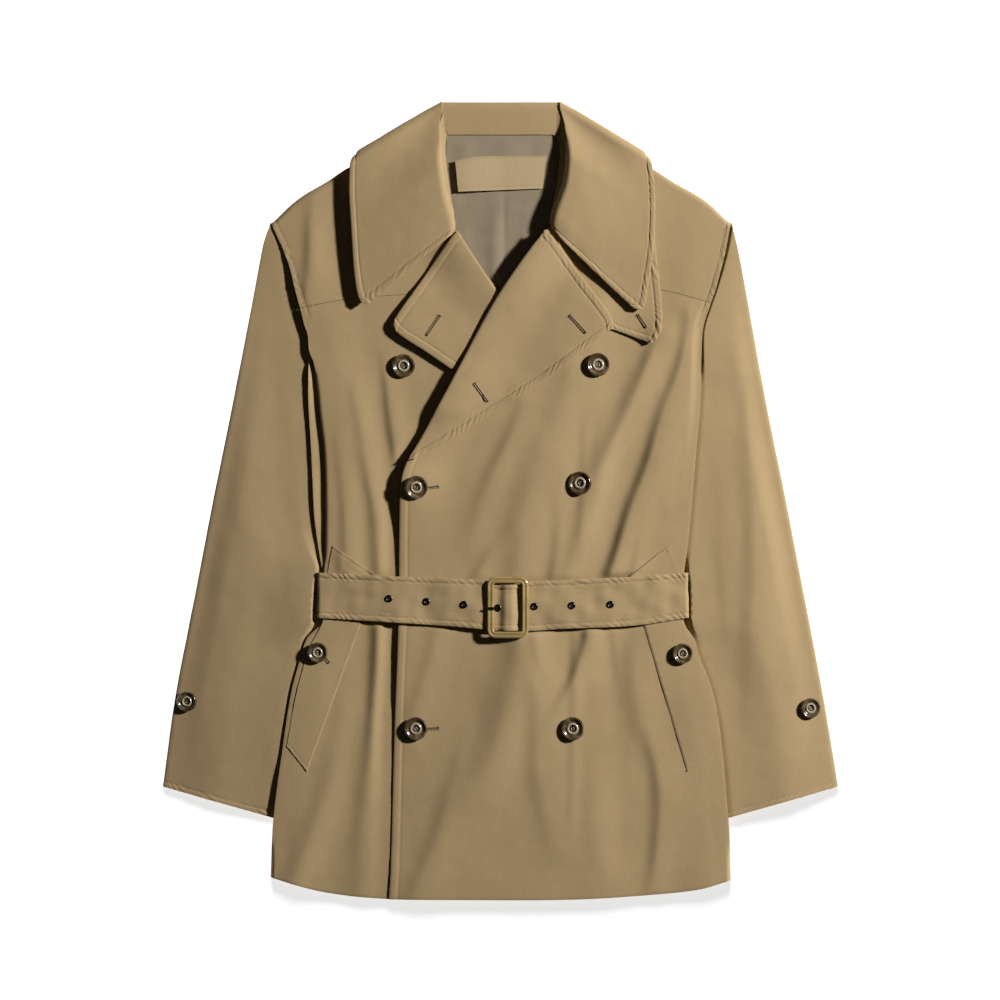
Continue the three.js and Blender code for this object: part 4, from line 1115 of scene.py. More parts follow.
LEFT_SLEEVE = {
    "outer": [
        (-298, 350.6), (-295.5, 351), (-207, 336.5), (-103, 317), (1, 297), (105, 276),
        (209, 257), (246, 250), (270, 245), (289, 240),
    ],
    "inner": [
        (214, -337), (206, -290), (192, -220), (176, -150), (168, -80), (178, -4), (187, 34),
        (189, 62), (186, 84),
    ],
    "armhole": [
        (240, 289), (233, 275), (228, 258), (219, 222), (207, 180), (205.6, 150), (205.4, 128),
        (202.8, 111), (196, 94), (186, 84),
    ],
    "folds": LEFT_SLEEVE_FOLDS,
    "crown": 5,
    "beside": [
        (-330, -9, 15, 6.6), (-250, -9, 14, 7), (-150, -9, 14, 7), (-125, 5.5, 3, 9),
        (-90, 5.5, 3, 9), (-70, 0, 5, 8), (-48, -9, 14, 7.2), (60, -9, 14, 7), (115, -9, 14, 7),
        (140, -3, 7, 7.8), (158, -1, 3.5, 8.4), (180, -1.5, 3.5, 8.4),
        (222, -1.5, 4, 8.2), (262, -1.5, 5, 7.8), (288, -1.5, 5, 6.8),
    ],
}


cuff_y, cuff_x = RIGHT_SLEEVE["outer"][0]
inner_x, inner_y = RIGHT_SLEEVE["inner"][0]
print("the right cuff is", round(math.hypot(cuff_x - inner_x, cuff_y - inner_y)), "mm across")

# %% [markdown]
# The sleeves' height. From its outer fold a sleeve rises over a soft crown towards its middle.
# Beside the body it goes down to the tucked part's height or up to the body's side, as its
# table says. The cloth's folds start only clear of both.

# %% The sleeves


def sleeve_height(shape):
    edge = curve(shape["outer"])
    heights = np.array(shape["beside"], float)
    begin, width_of_rise, top = [curve(heights[:, [0, k]]) for k in (1, 2, 3)]

    def at(x, y):
        width = mix(137, 190, smooth(-300, 250, y))
        inside = np.maximum(0, np.abs(edge(y)) - np.abs(x))
        outside_body = -inside_side(x, y)
        beyond = outside_body - begin(y) - width_of_rise(y)
        folded = fold_height(shape["folds"], x, y) * smooth(6, 30, inside) * smooth(0, 24, beyond)
        share = inside / width
        crown = 0.8 + shape["crown"] * smooth(-0.12, 0.44, share) * (1 - 0.6 * smooth(0.55, 1, share))
        free = TUCKED_Z + crown * rounding(inside, 5) + folded
        beside = mix(TUCKED_Z + 0.3, top(y), smooth(0, 1, 1 + beyond / width_of_rise(y)))
        return mix(beside, free, smooth(4, 64, beyond))

    return at


def sleeve(name, shape, side, seed):
    low, high = shape["outer"][0], shape["outer"][-1]
    plan = patch(
        straight((low[1], low[0]), shape["inner"][0]), line(shape["inner"]), line(shape["armhole"]),
        edge_line(shape["outer"], low[0], high[0]),
    )
    top = sewn(
        f"sleeve_{name}_upper", f"sleeve_top_{name}", draped(plan, sleeve_height(shape)), SLEEVE_LAYER,
        side, [("v0", 5, 0.45, 0)], seed=seed, cell=2, rests_on=[f"sleeve_{name}_lower"],
        turn=-side * math.radians(11),
    )
    under = draped(plan, lambda x, y: 0 * x)
    cloth(f"sleeve_{name}_lower", f"sleeve_under_{name}", under, SLEEVE_LAYER, -side, cell=7)
    return top


sleeve_right_surface = sleeve("right", RIGHT_SLEEVE, 1, 12.0)
sleeve_left_surface = sleeve("left", LEFT_SLEEVE, -1, 13.0)

# %% [markdown]
# The pocket welts are slanted strips, stitched down at both long edges, that run up under the
# belt. Pressed and sewn down, they stand less than a millimetre off the front.

# %% Pocket welts
WELT_THICKNESS = 0.7
WELT_GAP = 0.1


def welt_over(front):
    return lambda x, y: front(x, y) + WELT_GAP + WELT_THICKNESS


right_welt_height = welt_over(over_right_front)
left_welt_height = welt_over(over_left_front)
welt_right_base = draped(
    patch(
        straight((-222, -256), (-201, -282)), straight((-201, -282), (-127, -79)),
        straight((-174, -47), (-127, -79)),
        line([(-222, -256), (-213, -205), (-199, -155), (-184, -124), (-181, -98), (-179, -72), (-174, -47)]),
    ),
    right_welt_height,
)
welt_left_base = draped(
    patch(
        straight((194, -282), (224, -262)),
        line([(224, -262), (217, -205), (200, -155), (188, -124), (185.5, -98), (184, -72), (175, -47)]),
        straight((134, -79), (175, -47)), straight((194, -282), (134, -79)),
    ),
    left_welt_height,
)
WELT_SEAMS = [("v0", 3, 0.1, 0), ("v1", 3, 0.1, 0)]
welt_right_surface = sewn(
    "welt_right_strip", "pocket_welt_right", welt_right_base, WELT_THICKNESS, 1, WELT_SEAMS,
    ["v0", "u1", "v1"], seed=14.0, cell=2, rests_on=["front_right_panel"], turn=math.radians(20),
)
welt_left_surface = sewn(
    "welt_left_strip", "pocket_welt_left", welt_left_base, WELT_THICKNESS, 1, WELT_SEAMS,
    ["v0", "u0", "v1"], seed=15.0, cell=2, rests_on=["front_left_panel"], turn=math.radians(-20),
)

# %% [markdown]
# The belt is a stitched strap of two cloths. It passes under the buckle's sides and over the
# bar in the middle, so it humps there, and it turns down at the body's sides. Behind the coat
# its back stretch lies on the table, with the sleeves below its ends.

# %% Belt
BUCKLE = {"x": 7.5, "y": -111, "width": 43, "height": 64, "bar": 7, "depth": 3.8, "z": 16.4}
BAR_X = BUCKLE["x"] + 1
BELT_ENDS = (-190.8, 195.6)
BELT_Z = 14
BELT_SIDE_Z = 8.6
BELT_HUMP = 3.5
BACK_BELT = (-122, -75)


def belt_height(x):
    flat = BELT_Z + 1.9 * bell(x + 2, 80) - 1.6 * smooth(120, 184, np.abs(x - 2))
    over_bar = BELT_HUMP * (1 - smooth(2.5, 11.5, np.abs(x - BAR_X)))
    inside = np.minimum(x - BELT_ENDS[0], BELT_ENDS[1] - x)
    return mix(BELT_SIDE_Z, flat + over_bar, rounding(inside, 4))


def belt_base(u, v):
    x = mix(*BELT_ENDS, u)
    return np.array([x, mix(belt_bottom_y(x), belt_top_y(x), v), belt_height(x)])


belt_surface = sewn(
    "belt_strap", "belt_front", belt_base, DOUBLE, 1, [("v0", 5, 0.4, 0), ("v1", 5, -0.5, 0)],
    ["v0", "v1"], waves=0.9, seed=16.0, cell=1.3, rests_on=["front_left_panel", "front_right_panel"],
    turn=math.radians(90),
)


def belt_back_surface(u, v):
    x = mix(BELT_ENDS[0] + 2, BELT_ENDS[1] - 2, u)
    y = mix(*BACK_BELT, v)
    return np.array([x, y, sleeve_rise(0.97 * x, y)])


cloth("belt_back_strap", "belt_back", belt_back_surface, 1.3, -1, cell=5, turn=math.radians(90))

# %% [markdown]
# Topstitching is real thread, about three stitches to the centimetre, that lies a little
# sunk in the cloth. One small faceted stitch is made once and set down along every row. Each
# row runs at an even distance from an edge of its panel.

# %% One stitch, and a row of them
STITCH = 2.7
STITCH_GAP = 0.9
THREAD_RADIUS = 0.00024
STITCH_DIP = 0.00016
stitch_bm = bmesh.new()
bmesh.ops.create_cone(
    stitch_bm, cap_ends=True, segments=6, radius1=THREAD_RADIUS, radius2=THREAD_RADIUS, depth=STITCH * MM,
)
bmesh.ops.transform(stitch_bm, matrix=Matrix.Rotation(math.pi / 2, 4, "Y"), verts=stitch_bm.verts)
for corner in stitch_bm.verts:
    corner.co.z -= STITCH_DIP
stitch_mesh = bpy.data.meshes.new("one_stitch")
stitch_bm.to_mesh(stitch_mesh)
stitch_bm.free()


def row_path(surface, edge, inset, start=0.0, end=1.0, side=1):
    """Points and normals along a row at that distance from a panel's edge."""
    across, along = spans(surface)
    t = np.linspace(start, end, 400)
    if edge == "u0":
        u, v = inset / across(t), t
    elif edge == "u1":
        u, v = 1 - inset / across(t), t
    elif edge == "v0":
        u, v = t, inset / along(t)
    else:
        u, v = t, 1 - inset / along(t)
    return surface(u, v).T, normals_of(surface, u, v, side).T


def sew(bm, points, normals, stitch=STITCH, gap=STITCH_GAP, proud=0.12):
    """Sets stitches down along a path. Returns how many."""
    steps = np.linalg.norm(np.diff(points, axis=0), axis=1)
    reach = np.concatenate([[0], np.cumsum(steps)])
    count = int(reach[-1] / (stitch + gap))
    for k in range(count):
        middle = (k + 0.5) * (stitch + gap)
        ends = [middle - stitch / 2, middle + stitch / 2]
        a, b = [np.array([np.interp(e, reach, points[:, i]) for i in range(3)]) for e in ends]
        up = Vector([np.interp(middle, reach, normals[:, i]) for i in range(3)])
        place = Vector((a + b) / 2) + up * proud
        forward = Vector(b - a).normalized()
        sideways = up.cross(forward).normalized()
        turn = Matrix((forward, sideways, forward.cross(sideways))).transposed().to_4x4()
        matrix = Matrix.Translation(place * MM) @ turn
        stitch_mesh.transform(matrix)
        bm.from_mesh(stitch_mesh)
        stitch_mesh.transform(matrix.inverted())
    return count


print("a stitch and its gap take", STITCH + STITCH_GAP, "mm")

# %% [markdown]
# The rows. Each one names a panel's surface, the edge that it follows, how far in it runs,
# where it starts and ends, and the panel's side. The armholes' rows follow the body's outline
# instead, because the yoke and the front meet under them.

# %% Topstitching
ARMHOLE_ROW = {"low": 180, "high": 286, "inset": 5, "proud": 0.1, "count": 200}
ROWS = [
    (front_left_surface, "u0", 8, 0.0, 0.72, 1),
    (lapel_left_surface, "u1", 8, 0.02, 0.95, 1),
    (lapel_left_surface, "v1", 8, 0.02, 0.92, 1),
    (lapel_right_surface, "u1", 8, 0.05, 0.93, -1),
    (lapel_right_surface, "v1", 8, 0.02, 0.9, -1),
    (flap_surface, "v0", 6, 0.0, 0.95, 1),
    (flap_surface, "u1", 7, 0.05, 1.0, 1),
    (leaf_right_surface, "u1", 6.5, 0.03, 0.72, -1),
    (leaf_right_surface, "v0", 7, 0.04, 0.92, -1),
    (leaf_left_surface, "u1", 7, 0.03, 0.72, 1),
    (leaf_left_surface, "v0", 7, 0.04, 0.92, 1),
    (sleeve_right_surface, "v0", 5, 0.02, 0.9, 1),
    (sleeve_left_surface, "v0", 5, 0.02, 0.9, -1),
    (welt_right_surface, "u1", 2.5, 0.0, 1.0, 1),
    (welt_right_surface, "v0", 3, 0.0, 1.0, 1),
    (welt_right_surface, "v1", 3, 0.0, 1.0, 1),
    (welt_left_surface, "u0", 2.5, 0.0, 1.0, 1),
    (welt_left_surface, "u1", 3, 0.8, 1.0, 1),
    (welt_right_surface, "u0", 3, 0.8, 1.0, 1),
    (welt_left_surface, "v0", 3, 0.0, 1.0, 1),
    (welt_left_surface, "v1", 3, 0.0, 1.0, 1),
    (belt_surface, "v0", 5, 0.02, 0.98, 1),
    (belt_surface, "v1", 5, 0.02, 0.98, 1),
]
sewing = bmesh.new()
stitches = sum(
    sew(sewing, *row_path(surface, edge, inset, start, end, side))
    for surface, edge, inset, start, end, side in ROWS
)
for side_x, height, way in [(right_side_x, right_front_height, 1), (left_side_x, left_front_height, -1)]:
    y = np.linspace(ARMHOLE_ROW["low"], ARMHOLE_ROW["high"], ARMHOLE_ROW["count"])
    x = side_x(y) + way * ARMHOLE_ROW["inset"]
    points = np.column_stack([x, y, height(x, y) + ARMHOLE_ROW["proud"]])
    stitches += sew(sewing, points, np.tile([0.0, 0.0, 1.0], (len(y), 1)))
sewing_mesh = bpy.data.meshes.new("topstitching")
sewing.to_mesh(sewing_mesh)
sewing.free()
finish_piece("topstitching", sewing_mesh, thread)
print("stitches sewn:", stitches)

# %% [markdown]
# A coat button's finishes. Horn is dark and veined, with a polished coat. The raised ring is
# painted paler than the rim as a painted highlight, and the holes are painted dark as deep shade.

# %% The buttons' finishes and profiles
HORN_STOPS = [(0.3, (0.04, 0.024, 0.01)), (0.5, (0.085, 0.056, 0.025)), (0.7, (0.2, 0.145, 0.07))]
HORN_VEINS = {"Scale": 90.0, "Detail": 6.0, "Distortion": 1.2}
horn = uneven_material(
    "dark_horn", HORN_STOPS, HORN_VEINS, Roughness=0.2, Coat_Weight=0.5, Coat_Roughness=0.08,
)
# The ring's pale colour is a painted highlight; its slight metallic gloss is a real setting.
highlight_horn = plain_material("painted_highlight_ring", (0.5, 0.42, 0.31), 0.2, 400.0, 0.15, Metallic=0.25)
hole_dark = plain_material("button_hole_shade", (0.012, 0.008, 0.006), 0.8)
button_thread = thread_material("button_thread", (0.5, 0.4, 0.27))
BUTTON_PROFILE = [
    (0.0, 0.3), (0.3, 0.3), (0.36, 0.32), (0.42, 0.5), (0.48, 0.56), (0.56, 0.54),
    (0.66, 0.6), (0.74, 0.8), (0.82, 0.97), (0.88, 1.0), (0.94, 0.88), (0.99, 0.62), (1.0, 0.45),
    (0.96, 0.26), (0.86, 0.1), (0.74, 0.02), (0.4, 0.0), (0.0, 0.0),
]
RING_PROFILE = [
    (0.3, 0.34), (0.32, 0.6), (0.37, 0.76), (0.43, 0.78), (0.49, 0.68), (0.52, 0.5), (0.3, 0.34),
]
SHANK = 0.7
BUTTON_SEAT = 0.8
BUTTON_HEIGHT = 4.2
WELL_LEVEL = 0.3
HOLE_OUT = 0.11
HOLE_RADIUS = 0.0007
BUTTON_THREAD_RADIUS = 0.0004
SHANK_RADIUS = 0.0016
print("points in a button's profile:", len(BUTTON_PROFILE))

# %% [markdown]
# Turned and round shapes. A coat button is turned on a lathe: a broad rounded rim, a raised
# ring and a sunk well with four holes. Spinning one profile round an axis is the same work in
# a mesh. What sits on cloth is turned to lie along it, so the seat tool reads the slope there.

# %% The lathe, the seat and the rod


def spun(profile, radius, height, steps=48):
    """A closed shape turned round Z, in metres."""
    bm = bmesh.new()
    corners = [bm.verts.new((across * radius * MM, 0, up * height * MM)) for across, up in profile]
    edges = [bm.edges.new(pair) for pair in zip(corners, corners[1:])]
    bmesh.ops.spin(
        bm, geom=[*corners, *edges], cent=(0, 0, 0), axis=(0, 0, 1), angle=2 * math.pi, steps=steps,
        use_merge=True, use_duplicate=False,
    )
    bmesh.ops.remove_doubles(bm, verts=bm.verts, dist=1e-6)
    bmesh.ops.recalc_face_normals(bm, faces=bm.faces)
    return bm


def seat_matrix(height, x, y, above):
    """A place on a height field, turned to lie along it."""
    step = 4.0
    slope_x = (height(x + step, y) - height(x - step, y)) / (2 * step)
    slope_y = (height(x, y + step) - height(x, y - step)) / (2 * step)
    up = Vector((-float(slope_x), -float(slope_y), 1)).normalized()
    spot = Vector((x, y, float(height(x, y)))) + up * above
    return Matrix.Translation(spot * MM) @ up.to_track_quat("Z", "Y").to_matrix().to_4x4()


def fixture(name, bm, matrix, material, replaced=()):
    """Puts a finished shape in its place and adds it as a piece."""
    bmesh.ops.transform(bm, matrix=matrix, verts=bm.verts)
    mark_sharp(bm, 40)
    mesh = bpy.data.meshes.new(name)
    bm.to_mesh(mesh)
    bm.free()
    finish_piece(name, mesh, material, replaced)


def rod(bm, a, b, radius, segments=8):
    """A short round bar between two points, in metres."""
    along = Vector(b) - Vector(a)
    turn = along.to_track_quat("Z", "Y").to_matrix().to_4x4()
    bmesh.ops.create_cone(
        bm, cap_ends=True, segments=segments, radius1=radius, radius2=radius, depth=along.length,
        matrix=Matrix.Translation((Vector(a) + Vector(b)) / 2) @ turn,
    )


print("a button is", BUTTON_HEIGHT, "mm high on a shank of", SHANK, "mm")

# %% [markdown]
# The buttons. Each has its horn body, its ring painted pale as a highlight, four holes painted dark
# as shade, and the thread that crosses the well in two bars. A wound shank below lifts it off the cloth.
# No button is sewn on quite straight, so each one is turned by a different angle.

# %% Buttons


def button(name, x, y, radius, height, turn):
    seat = seat_matrix(height, x, y, SHANK + BUTTON_SEAT) @ Matrix.Rotation(turn, 4, "Z")
    fixture(name + "_horn", spun(BUTTON_PROFILE, radius, BUTTON_HEIGHT), seat, horn, [name])
    # The ring piece is painted pale as a highlight.
    fixture(name + "_ring", spun(RING_PROFILE, radius, BUTTON_HEIGHT), seat, highlight_horn)
    hole = radius * HOLE_OUT * MM
    level = BUTTON_HEIGHT * WELL_LEVEL * MM
    bar = level + 0.0003
    holes = bmesh.new()
    threads = bmesh.new()
    for sx in (-1, 1):
        for sy in (-1, 1):
            spot = Vector((sx * hole, sy * hole, level))
            rod(holes, spot - Vector((0, 0, 0.0003)), spot + Vector((0, 0, 0.00006)), HOLE_RADIUS, 12)
        rod(threads, (sx * hole, -hole, bar), (sx * hole, hole, bar), BUTTON_THREAD_RADIUS)
    rod(threads, (0, 0, -SHANK * MM), (0, 0, 0.0001), SHANK_RADIUS, 12)
    # The holes are dark plugs of painted shade.
    fixture(name + "_holes", holes, seat, hole_dark)
    fixture(name + "_thread", threads, seat, button_thread)


LARGE = 12.2
SMALL = 10.6
right_sleeve_top = sleeve_height(RIGHT_SLEEVE)
left_sleeve_top = sleeve_height(LEFT_SLEEVE)
BUTTONS = [
    ("button_upper_right", -101, 140, LARGE, right_front_height),
    ("button_upper_left", 101, 141, LARGE, left_front_height),
    ("button_middle_right", -88, 14, LARGE, left_front_height),
    ("button_middle_left", 83, 18, LARGE, left_front_height),
    ("button_lower_right", -88, -237, LARGE, left_front_height),
    ("button_lower_left", 75, -237, LARGE, left_front_height),
    ("button_pocket_right", -190, -158, SMALL, right_welt_height),
    ("button_pocket_left", 189, -159, SMALL, left_welt_height),
    ("button_cuff_right", -326, -209, SMALL, right_sleeve_top),
    ("button_cuff_left", 322, -216, SMALL, left_sleeve_top),
]
for count, (name, x, y, radius, height) in enumerate(BUTTONS):
    button(name, float(x), float(y), radius, height, 0.5 + 0.7 * count)
print("buttons made:", len(BUTTONS))

# %% [markdown]
# A rounded frame. The buckle and the buttonholes are both rings that follow a rectangle with
# round corners. A grid closed both ways makes such a ring, and its section can change on the
# way, which a bevelled curve can't do.

# %% The ring tool


def rounded_rectangle(t, width, height, radius):
    """Points round a rectangle with round corners, for t from 0 to 1, and the way out."""
    sides = [height - 2 * radius, width - 2 * radius]
    arc = math.pi * radius / 2
    total = 2 * (sum(sides) + 2 * arc)
    place = (t % 1) * total
    points = np.zeros((2, *np.shape(t)))
    outward = np.zeros((2, *np.shape(t)))
    begin = 0.0
    for k in range(4):
        run = sides[k % 2]
        out = np.array([math.cos(k * math.pi / 2), math.sin(k * math.pi / 2)])
        ahead = np.array([-out[1], out[0]])
        half_out = (width if k % 2 == 0 else height) / 2
        on_side = (place >= begin) & (place < begin + run)
        for axis in range(2):
            straight_run = out[axis] * half_out + ahead[axis] * (place - begin - run / 2)
            points[axis] = np.where(on_side, straight_run, points[axis])
            outward[axis] = np.where(on_side, out[axis], outward[axis])
        begin += run
        on_arc = (place >= begin) & (place < begin + arc + 1e-9)
        turn = k * math.pi / 2 + (place - begin) / radius
        centre = out * (half_out - radius) + ahead * (run / 2)
        for axis, part in enumerate((np.cos(turn), np.sin(turn))):
            points[axis] = np.where(on_arc, centre[axis] + radius * part, points[axis])
            outward[axis] = np.where(on_arc, part, outward[axis])
        begin += arc
    return points, outward


def closed_ring(around, section, surface):
    """A grid closed both ways, such as a ring, in metres."""
    bm = bmesh.new()
    bmesh.ops.create_grid(bm, x_segments=around, y_segments=section, size=0.5)
    flat = np.array([vert.co for vert in bm.verts])
    places = (surface(flat[:, 0] + 0.5, flat[:, 1] + 0.5) * MM).T
    for vert, place in zip(bm.verts, places):
        vert.co = place
    bmesh.ops.remove_doubles(bm, verts=bm.verts, dist=1e-6)
    bmesh.ops.recalc_face_normals(bm, faces=bm.faces)
    return bm


quarter = rounded_rectangle(np.array([0.25]), 10, 10, 2)[0].ravel()
print("a quarter of the way round a frame of 10 mm is at", quarter.round(1))

# %% [markdown]
# The buckle is olive resin: a rounded frame with a groove round its face, a bar across its
# middle under the belt's hump, and a dark metal prong whose tip lies in the middle eyelet.

# %% Buckle
COAT = {"Coat_Weight": 0.6, "Coat_Roughness": 0.1}
buckle_finish = plain_material("olive_resin", (0.36, 0.255, 0.1), 0.2, 60.0, 0.18, **COAT)
dark_metal = plain_material("dark_metal", (0.05, 0.044, 0.038), 0.32, Metallic=1.0)
HALF_BAR = BUCKLE["bar"] / 2
HALF_DEPTH = BUCKLE["depth"] / 2
CORNER_ROUND = 5.5
FACE_GROOVE = 0.9
BAR_RADIUS = 0.0008
PRONG = {"start": -0.0131, "end": -0.0018, "y": -0.1115, "slope": 0.0004, "radius": 0.0011, "above": 1.5}


def softened(value):
    """A circle's sine or cosine, for a section between a circle and a square."""
    return np.sign(value) * np.abs(value) ** 0.8


def buckle_surface(u, v):
    width, height = BUCKLE["width"] - BUCKLE["bar"], BUCKLE["height"] - BUCKLE["bar"]
    middle, outward = rounded_rectangle(u, width, height, CORNER_ROUND)
    turn = v * 2 * math.pi
    groove = FACE_GROOVE * bell(np.sin(turn / 2 - math.pi / 4), 0.14)
    across = HALF_BAR * softened(np.cos(turn))
    up = HALF_DEPTH * softened(np.sin(turn)) - groove
    x = BUCKLE["x"] + middle[0] + outward[0] * across
    y = BUCKLE["y"] + middle[1] + outward[1] * across
    return np.array([x, y, BUCKLE["z"] + HALF_DEPTH + up])


ring_bm = closed_ring(160, 24, buckle_surface)
fixture("buckle_ring", ring_bm, Matrix(), buckle_finish, ["buckle_frame"])
bar_bm = bmesh.new()
bar_reach = Vector((0, (BUCKLE["height"] / 2 - 4) * MM, 0))
bar_place = Vector((BAR_X * MM, BUCKLE["y"] * MM, (BUCKLE["z"] - 0.6) * MM))
rod(bar_bm, bar_place - bar_reach, bar_place + bar_reach, BAR_RADIUS, 12)
fixture("buckle_bar", bar_bm, Matrix(), buckle_finish)
prong_bm = bmesh.new()
prong_z = (BUCKLE["z"] + BUCKLE["depth"] + PRONG["above"]) * MM
prong_start = (PRONG["start"], PRONG["y"], prong_z - PRONG["slope"])
rod(prong_bm, prong_start, (PRONG["end"], PRONG["y"], prong_z), PRONG["radius"], 16)
fixture("prong_rod", prong_bm, Matrix(), dark_metal, ["buckle_prong"])
print("the buckle is", BUCKLE["width"], "by", BUCKLE["height"], "mm")

# %% [markdown]
# The eyelets are small rolled metal rings round a dark hole. They are set on the belt's own
# rippled surface, so that no ripple hides one.

# %% Eyelets
EYELET_RADIUS = 3.9
EYELET_HEIGHT = 0.9
EYELET_HOLE_RADIUS = 0.0022
EYELET_PROFILE = [
    (0.5, 0.0), (0.46, 0.4), (0.55, 0.85), (0.72, 1.0), (0.88, 0.8), (1.0, 0.25), (1.0, 0.0), (0.5, 0.0),
]
EYELETS = [(-116, -102), (-77, -105), (-38, -108), (-3, -111.5), (35, -110), (74, -109), (114, -108)]
hole_shade = plain_material("eyelet_shade", (0.01, 0.008, 0.006), 0.9)


def belt_field(x, y):
    """The stitched belt's height at a place."""
    u = (x - BELT_ENDS[0]) / (BELT_ENDS[1] - BELT_ENDS[0])
    v = (y - belt_bottom_y(x)) / (belt_top_y(x) - belt_bottom_y(x))
    return belt_surface(u, v)[2]


for count, (x, y) in enumerate(EYELETS, 1):
    seat = seat_matrix(belt_field, float(x), float(y), 0.25)
    ring_bm = spun(EYELET_PROFILE, EYELET_RADIUS, EYELET_HEIGHT, 32)
    fixture(f"eyelet_ring_{count}", ring_bm, seat, dark_metal, [f"eyelet_{count}"])
    hole_bm = bmesh.new()
    rod(hole_bm, (0, 0, -0.0004), (0, 0, 0.0001), EYELET_HOLE_RADIUS, 20)
    fixture(f"eyelet_hole_{count}", hole_bm, seat, hole_shade)
print("eyelets made:", len(EYELETS))

# %% [markdown]
# Buttonholes are worked with close thread round a slit, with a round eye at one end and a
# short bar at the other. Each is a slim raised ring of thread, pinched by every stitch, with
# a dark slit in it.

# %% Buttonholes
worked_thread = thread_material("buttonhole_thread", (0.27, 0.185, 0.088))
slit_shade = plain_material("buttonhole_shade", (0.05, 0.03, 0.014), 0.9)
WORKED = (2.0, 1.5, 0.9)
WORKED_STITCHES = 34
SLIT_RADIUS = 0.00028
EYE_RADIUS = 0.0012
END_BAR = (0.0021, 0.0003)


def buttonhole(name, start, end, height, proud=0.5):
    """A worked buttonhole from its eye to its bar, on a height field."""
    outer_width, past_ends, corner = WORKED
    a, b = np.array(start, float), np.array(end, float)
    length = float(np.hypot(*(b - a)))
    ahead = (b - a) / length
    middle = (a + b) / 2

    def worked(u, v):
        path, outward = rounded_rectangle(u, outer_width, length + past_ends, corner)
        turn = v * 2 * math.pi
        pinch = 0.14 * np.sin(u * 2 * math.pi * WORKED_STITCHES)
        across = (0.6 + pinch) * np.cos(turn)
        side_x = path[0] + outward[0] * across
        side_y = path[1] + outward[1] * across
        x = middle[0] - ahead[1] * side_x + ahead[0] * side_y
        y = middle[1] + ahead[0] * side_x + ahead[1] * side_y
        return np.array([x, y, height(x, y) + proud + 0.3 * np.sin(turn)])

    fixture(name, closed_ring(204, 8, worked), Matrix(), worked_thread)
    slit = bmesh.new()
    level = float(height(middle[0], middle[1])) + proud - 0.1
    rod(slit, (a[0] * MM, a[1] * MM, level * MM), (b[0] * MM, b[1] * MM, level * MM), SLIT_RADIUS)
    eye = Vector((a[0], a[1], float(height(*a)) + proud - 0.2)) * MM
    rod(slit, eye, eye + Vector((0, 0, 0.0006)), EYE_RADIUS, 14)
    bar_side = Vector((-ahead[1], ahead[0], 0)) * END_BAR[0]
    bar = Vector((b[0], b[1], float(height(*b)) + proud + 0.25)) * MM
    rod(slit, bar - bar_side, bar + bar_side, END_BAR[1])
    fixture(name + "_slit", slit, Matrix(), slit_shade)


BUTTONHOLES = [
    ("lapel_right", (-76.4, 172.1), (-62.9, 191.9), right_lapel_height),
    ("lapel_left_upper", (88.0, 174.6), (72.2, 191.9), left_lapel_height),
    ("lapel_left_lower", (-13.6, 103.4), (-26.6, 121.2), left_lapel_height),
    ("flap", (151.3, 180.4), (143.0, 193.0), flap_height),
    ("middle", (-78.0, 13.0), (-64.5, 14.5), left_front_height),
    ("lower", (-78.0, -237.5), (-64.5, -236.5), left_front_height),
    ("pocket_right", (-182.0, -163.0), (-178.5, -168.5), right_welt_height),
    ("pocket_left", (180.0, -163.0), (174.5, -167.5), left_welt_height),
]
for name, eye_end, bar_end, height in BUTTONHOLES:
    buttonhole(f"buttonhole_{name}", eye_end, bar_end, height)
print("buttonholes made:", len(BUTTONHOLES))

# %% [markdown]
# The floor. The coat lies on a pale board that is nearly white, so it glows faintly to stay
# even from edge to edge, and still takes the coat's shadow. It isn't part of the coat.

# %% Floor
FLOOR_STOPS = [(0.3, (0.9, 0.9, 0.9)), (0.7, (0.92, 0.92, 0.92))]
FLOOR_GLOW = {"Emission_Color": (1, 1, 1, 1), "Emission_Strength": 0.76}
FLOOR_HALF = 12
FLOOR_Z = -0.0006
floor_material = uneven_material("pale_floor", FLOOR_STOPS, {"Scale": 3.0}, Roughness=0.9, **FLOOR_GLOW)
floor_bm = bmesh.new()
bmesh.ops.create_grid(floor_bm, x_segments=1, y_segments=1, size=FLOOR_HALF)
bmesh.ops.translate(floor_bm, verts=floor_bm.verts, vec=(0, 0, FLOOR_Z))
floor_mesh = bpy.data.meshes.new("floor")
floor_bm.to_mesh(floor_mesh)
floor_bm.free()
floor_mesh.materials.append(floor_material)
floor = bpy.data.objects.new("floor", floor_mesh)
bpy.context.scene.collection.objects.link(floor)
print("the floor is", 2 * FLOOR_HALF, "m across")

# %% [markdown]
# The lamps. One small lamp low on the right draws every fold and edge with deep shadows, and a
# faint broad one overhead keeps them from going black. A lamp from the collar's side lights
# only the floor, so that the coat throws one soft shadow below its hem. Light linking keeps
# the coat's lamps off the floor and the floor's lamp off the coat.

# %% Lamps


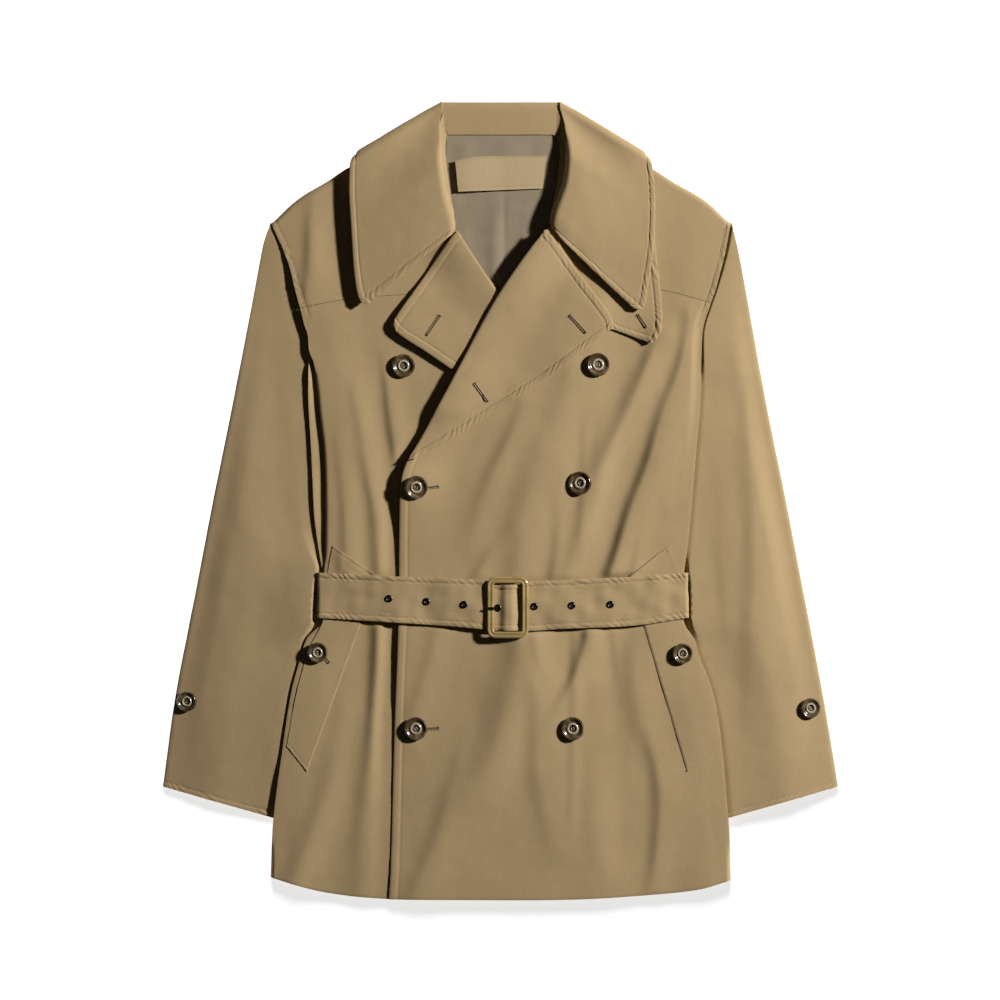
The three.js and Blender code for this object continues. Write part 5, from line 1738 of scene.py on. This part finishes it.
def lamp(name, azimuth, elevation, distance, size, power):
    """An area lamp aimed at the coat. Azimuth 0 is the picture's right, 90 its top."""
    light = bpy.data.lights.new(name, "AREA")
    light.shape = "DISK"
    light.size = size
    light.energy = power
    lamp_object = bpy.data.objects.new(name, light)
    a, e = math.radians(azimuth), math.radians(elevation)
    way = Vector((math.cos(a) * math.cos(e), math.sin(a) * math.cos(e), math.sin(e)))
    lamp_object.location = way * distance
    lamp_object.rotation_euler = way.to_track_quat("Z", "Y").to_euler()
    lamp_object.visible_camera = False
    bpy.context.scene.collection.objects.link(lamp_object)
    return lamp_object


def light_only(lamp_object, pieces):
    receivers = bpy.data.collections.new(lamp_object.name + "_receivers")
    for piece in pieces:
        receivers.objects.link(piece)
    lamp_object.light_linking.receiver_collection = receivers


coat_pieces = [
    piece for piece in bpy.context.scene.objects if piece.type == "MESH" and piece != floor
]
light_only(lamp("key", 22, 32, 3.2, 0.3, 160), coat_pieces)
light_only(lamp("overhead", 60, 78, 3.0, 2.2, 1.2), coat_pieces)
light_only(lamp("floor_lamp", 92, 30, 3.0, 1.3, 95), [floor])
WORLD_COLOUR = (1, 0.9, 0.75, 1)
WORLD_STRENGTH = 0.008
world = bpy.data.worlds.new("studio")
world.use_nodes = True
world.node_tree.nodes["Background"].inputs["Color"].default_value = WORLD_COLOUR
world.node_tree.nodes["Background"].inputs["Strength"].default_value = WORLD_STRENGTH
bpy.context.scene.world = world
bpy.context.scene.view_settings.view_transform = "Standard"

# %% [markdown]
# The camera looks straight down on the coat from far enough for the picture's flat look, with
# a frame as wide as the photograph's at the level of the cloth.

# %% Camera
CAMERA_SHIFT = (-0.0005, 0.0005)
camera_data = bpy.data.cameras.new("camera")
camera_data.lens = 135
camera = bpy.data.objects.new("camera", camera_data)
VIEW_WIDTH = 1.04
COAT_LEVEL = 0.008
distance = VIEW_WIDTH / 2 / math.tan(math.atan(camera_data.sensor_width / 2 / camera_data.lens))
camera.location = (*CAMERA_SHIFT, distance + COAT_LEVEL)
bpy.context.scene.collection.objects.link(camera)
bpy.context.scene.camera = camera
print("the camera is", round(distance, 2), "m above the coat")
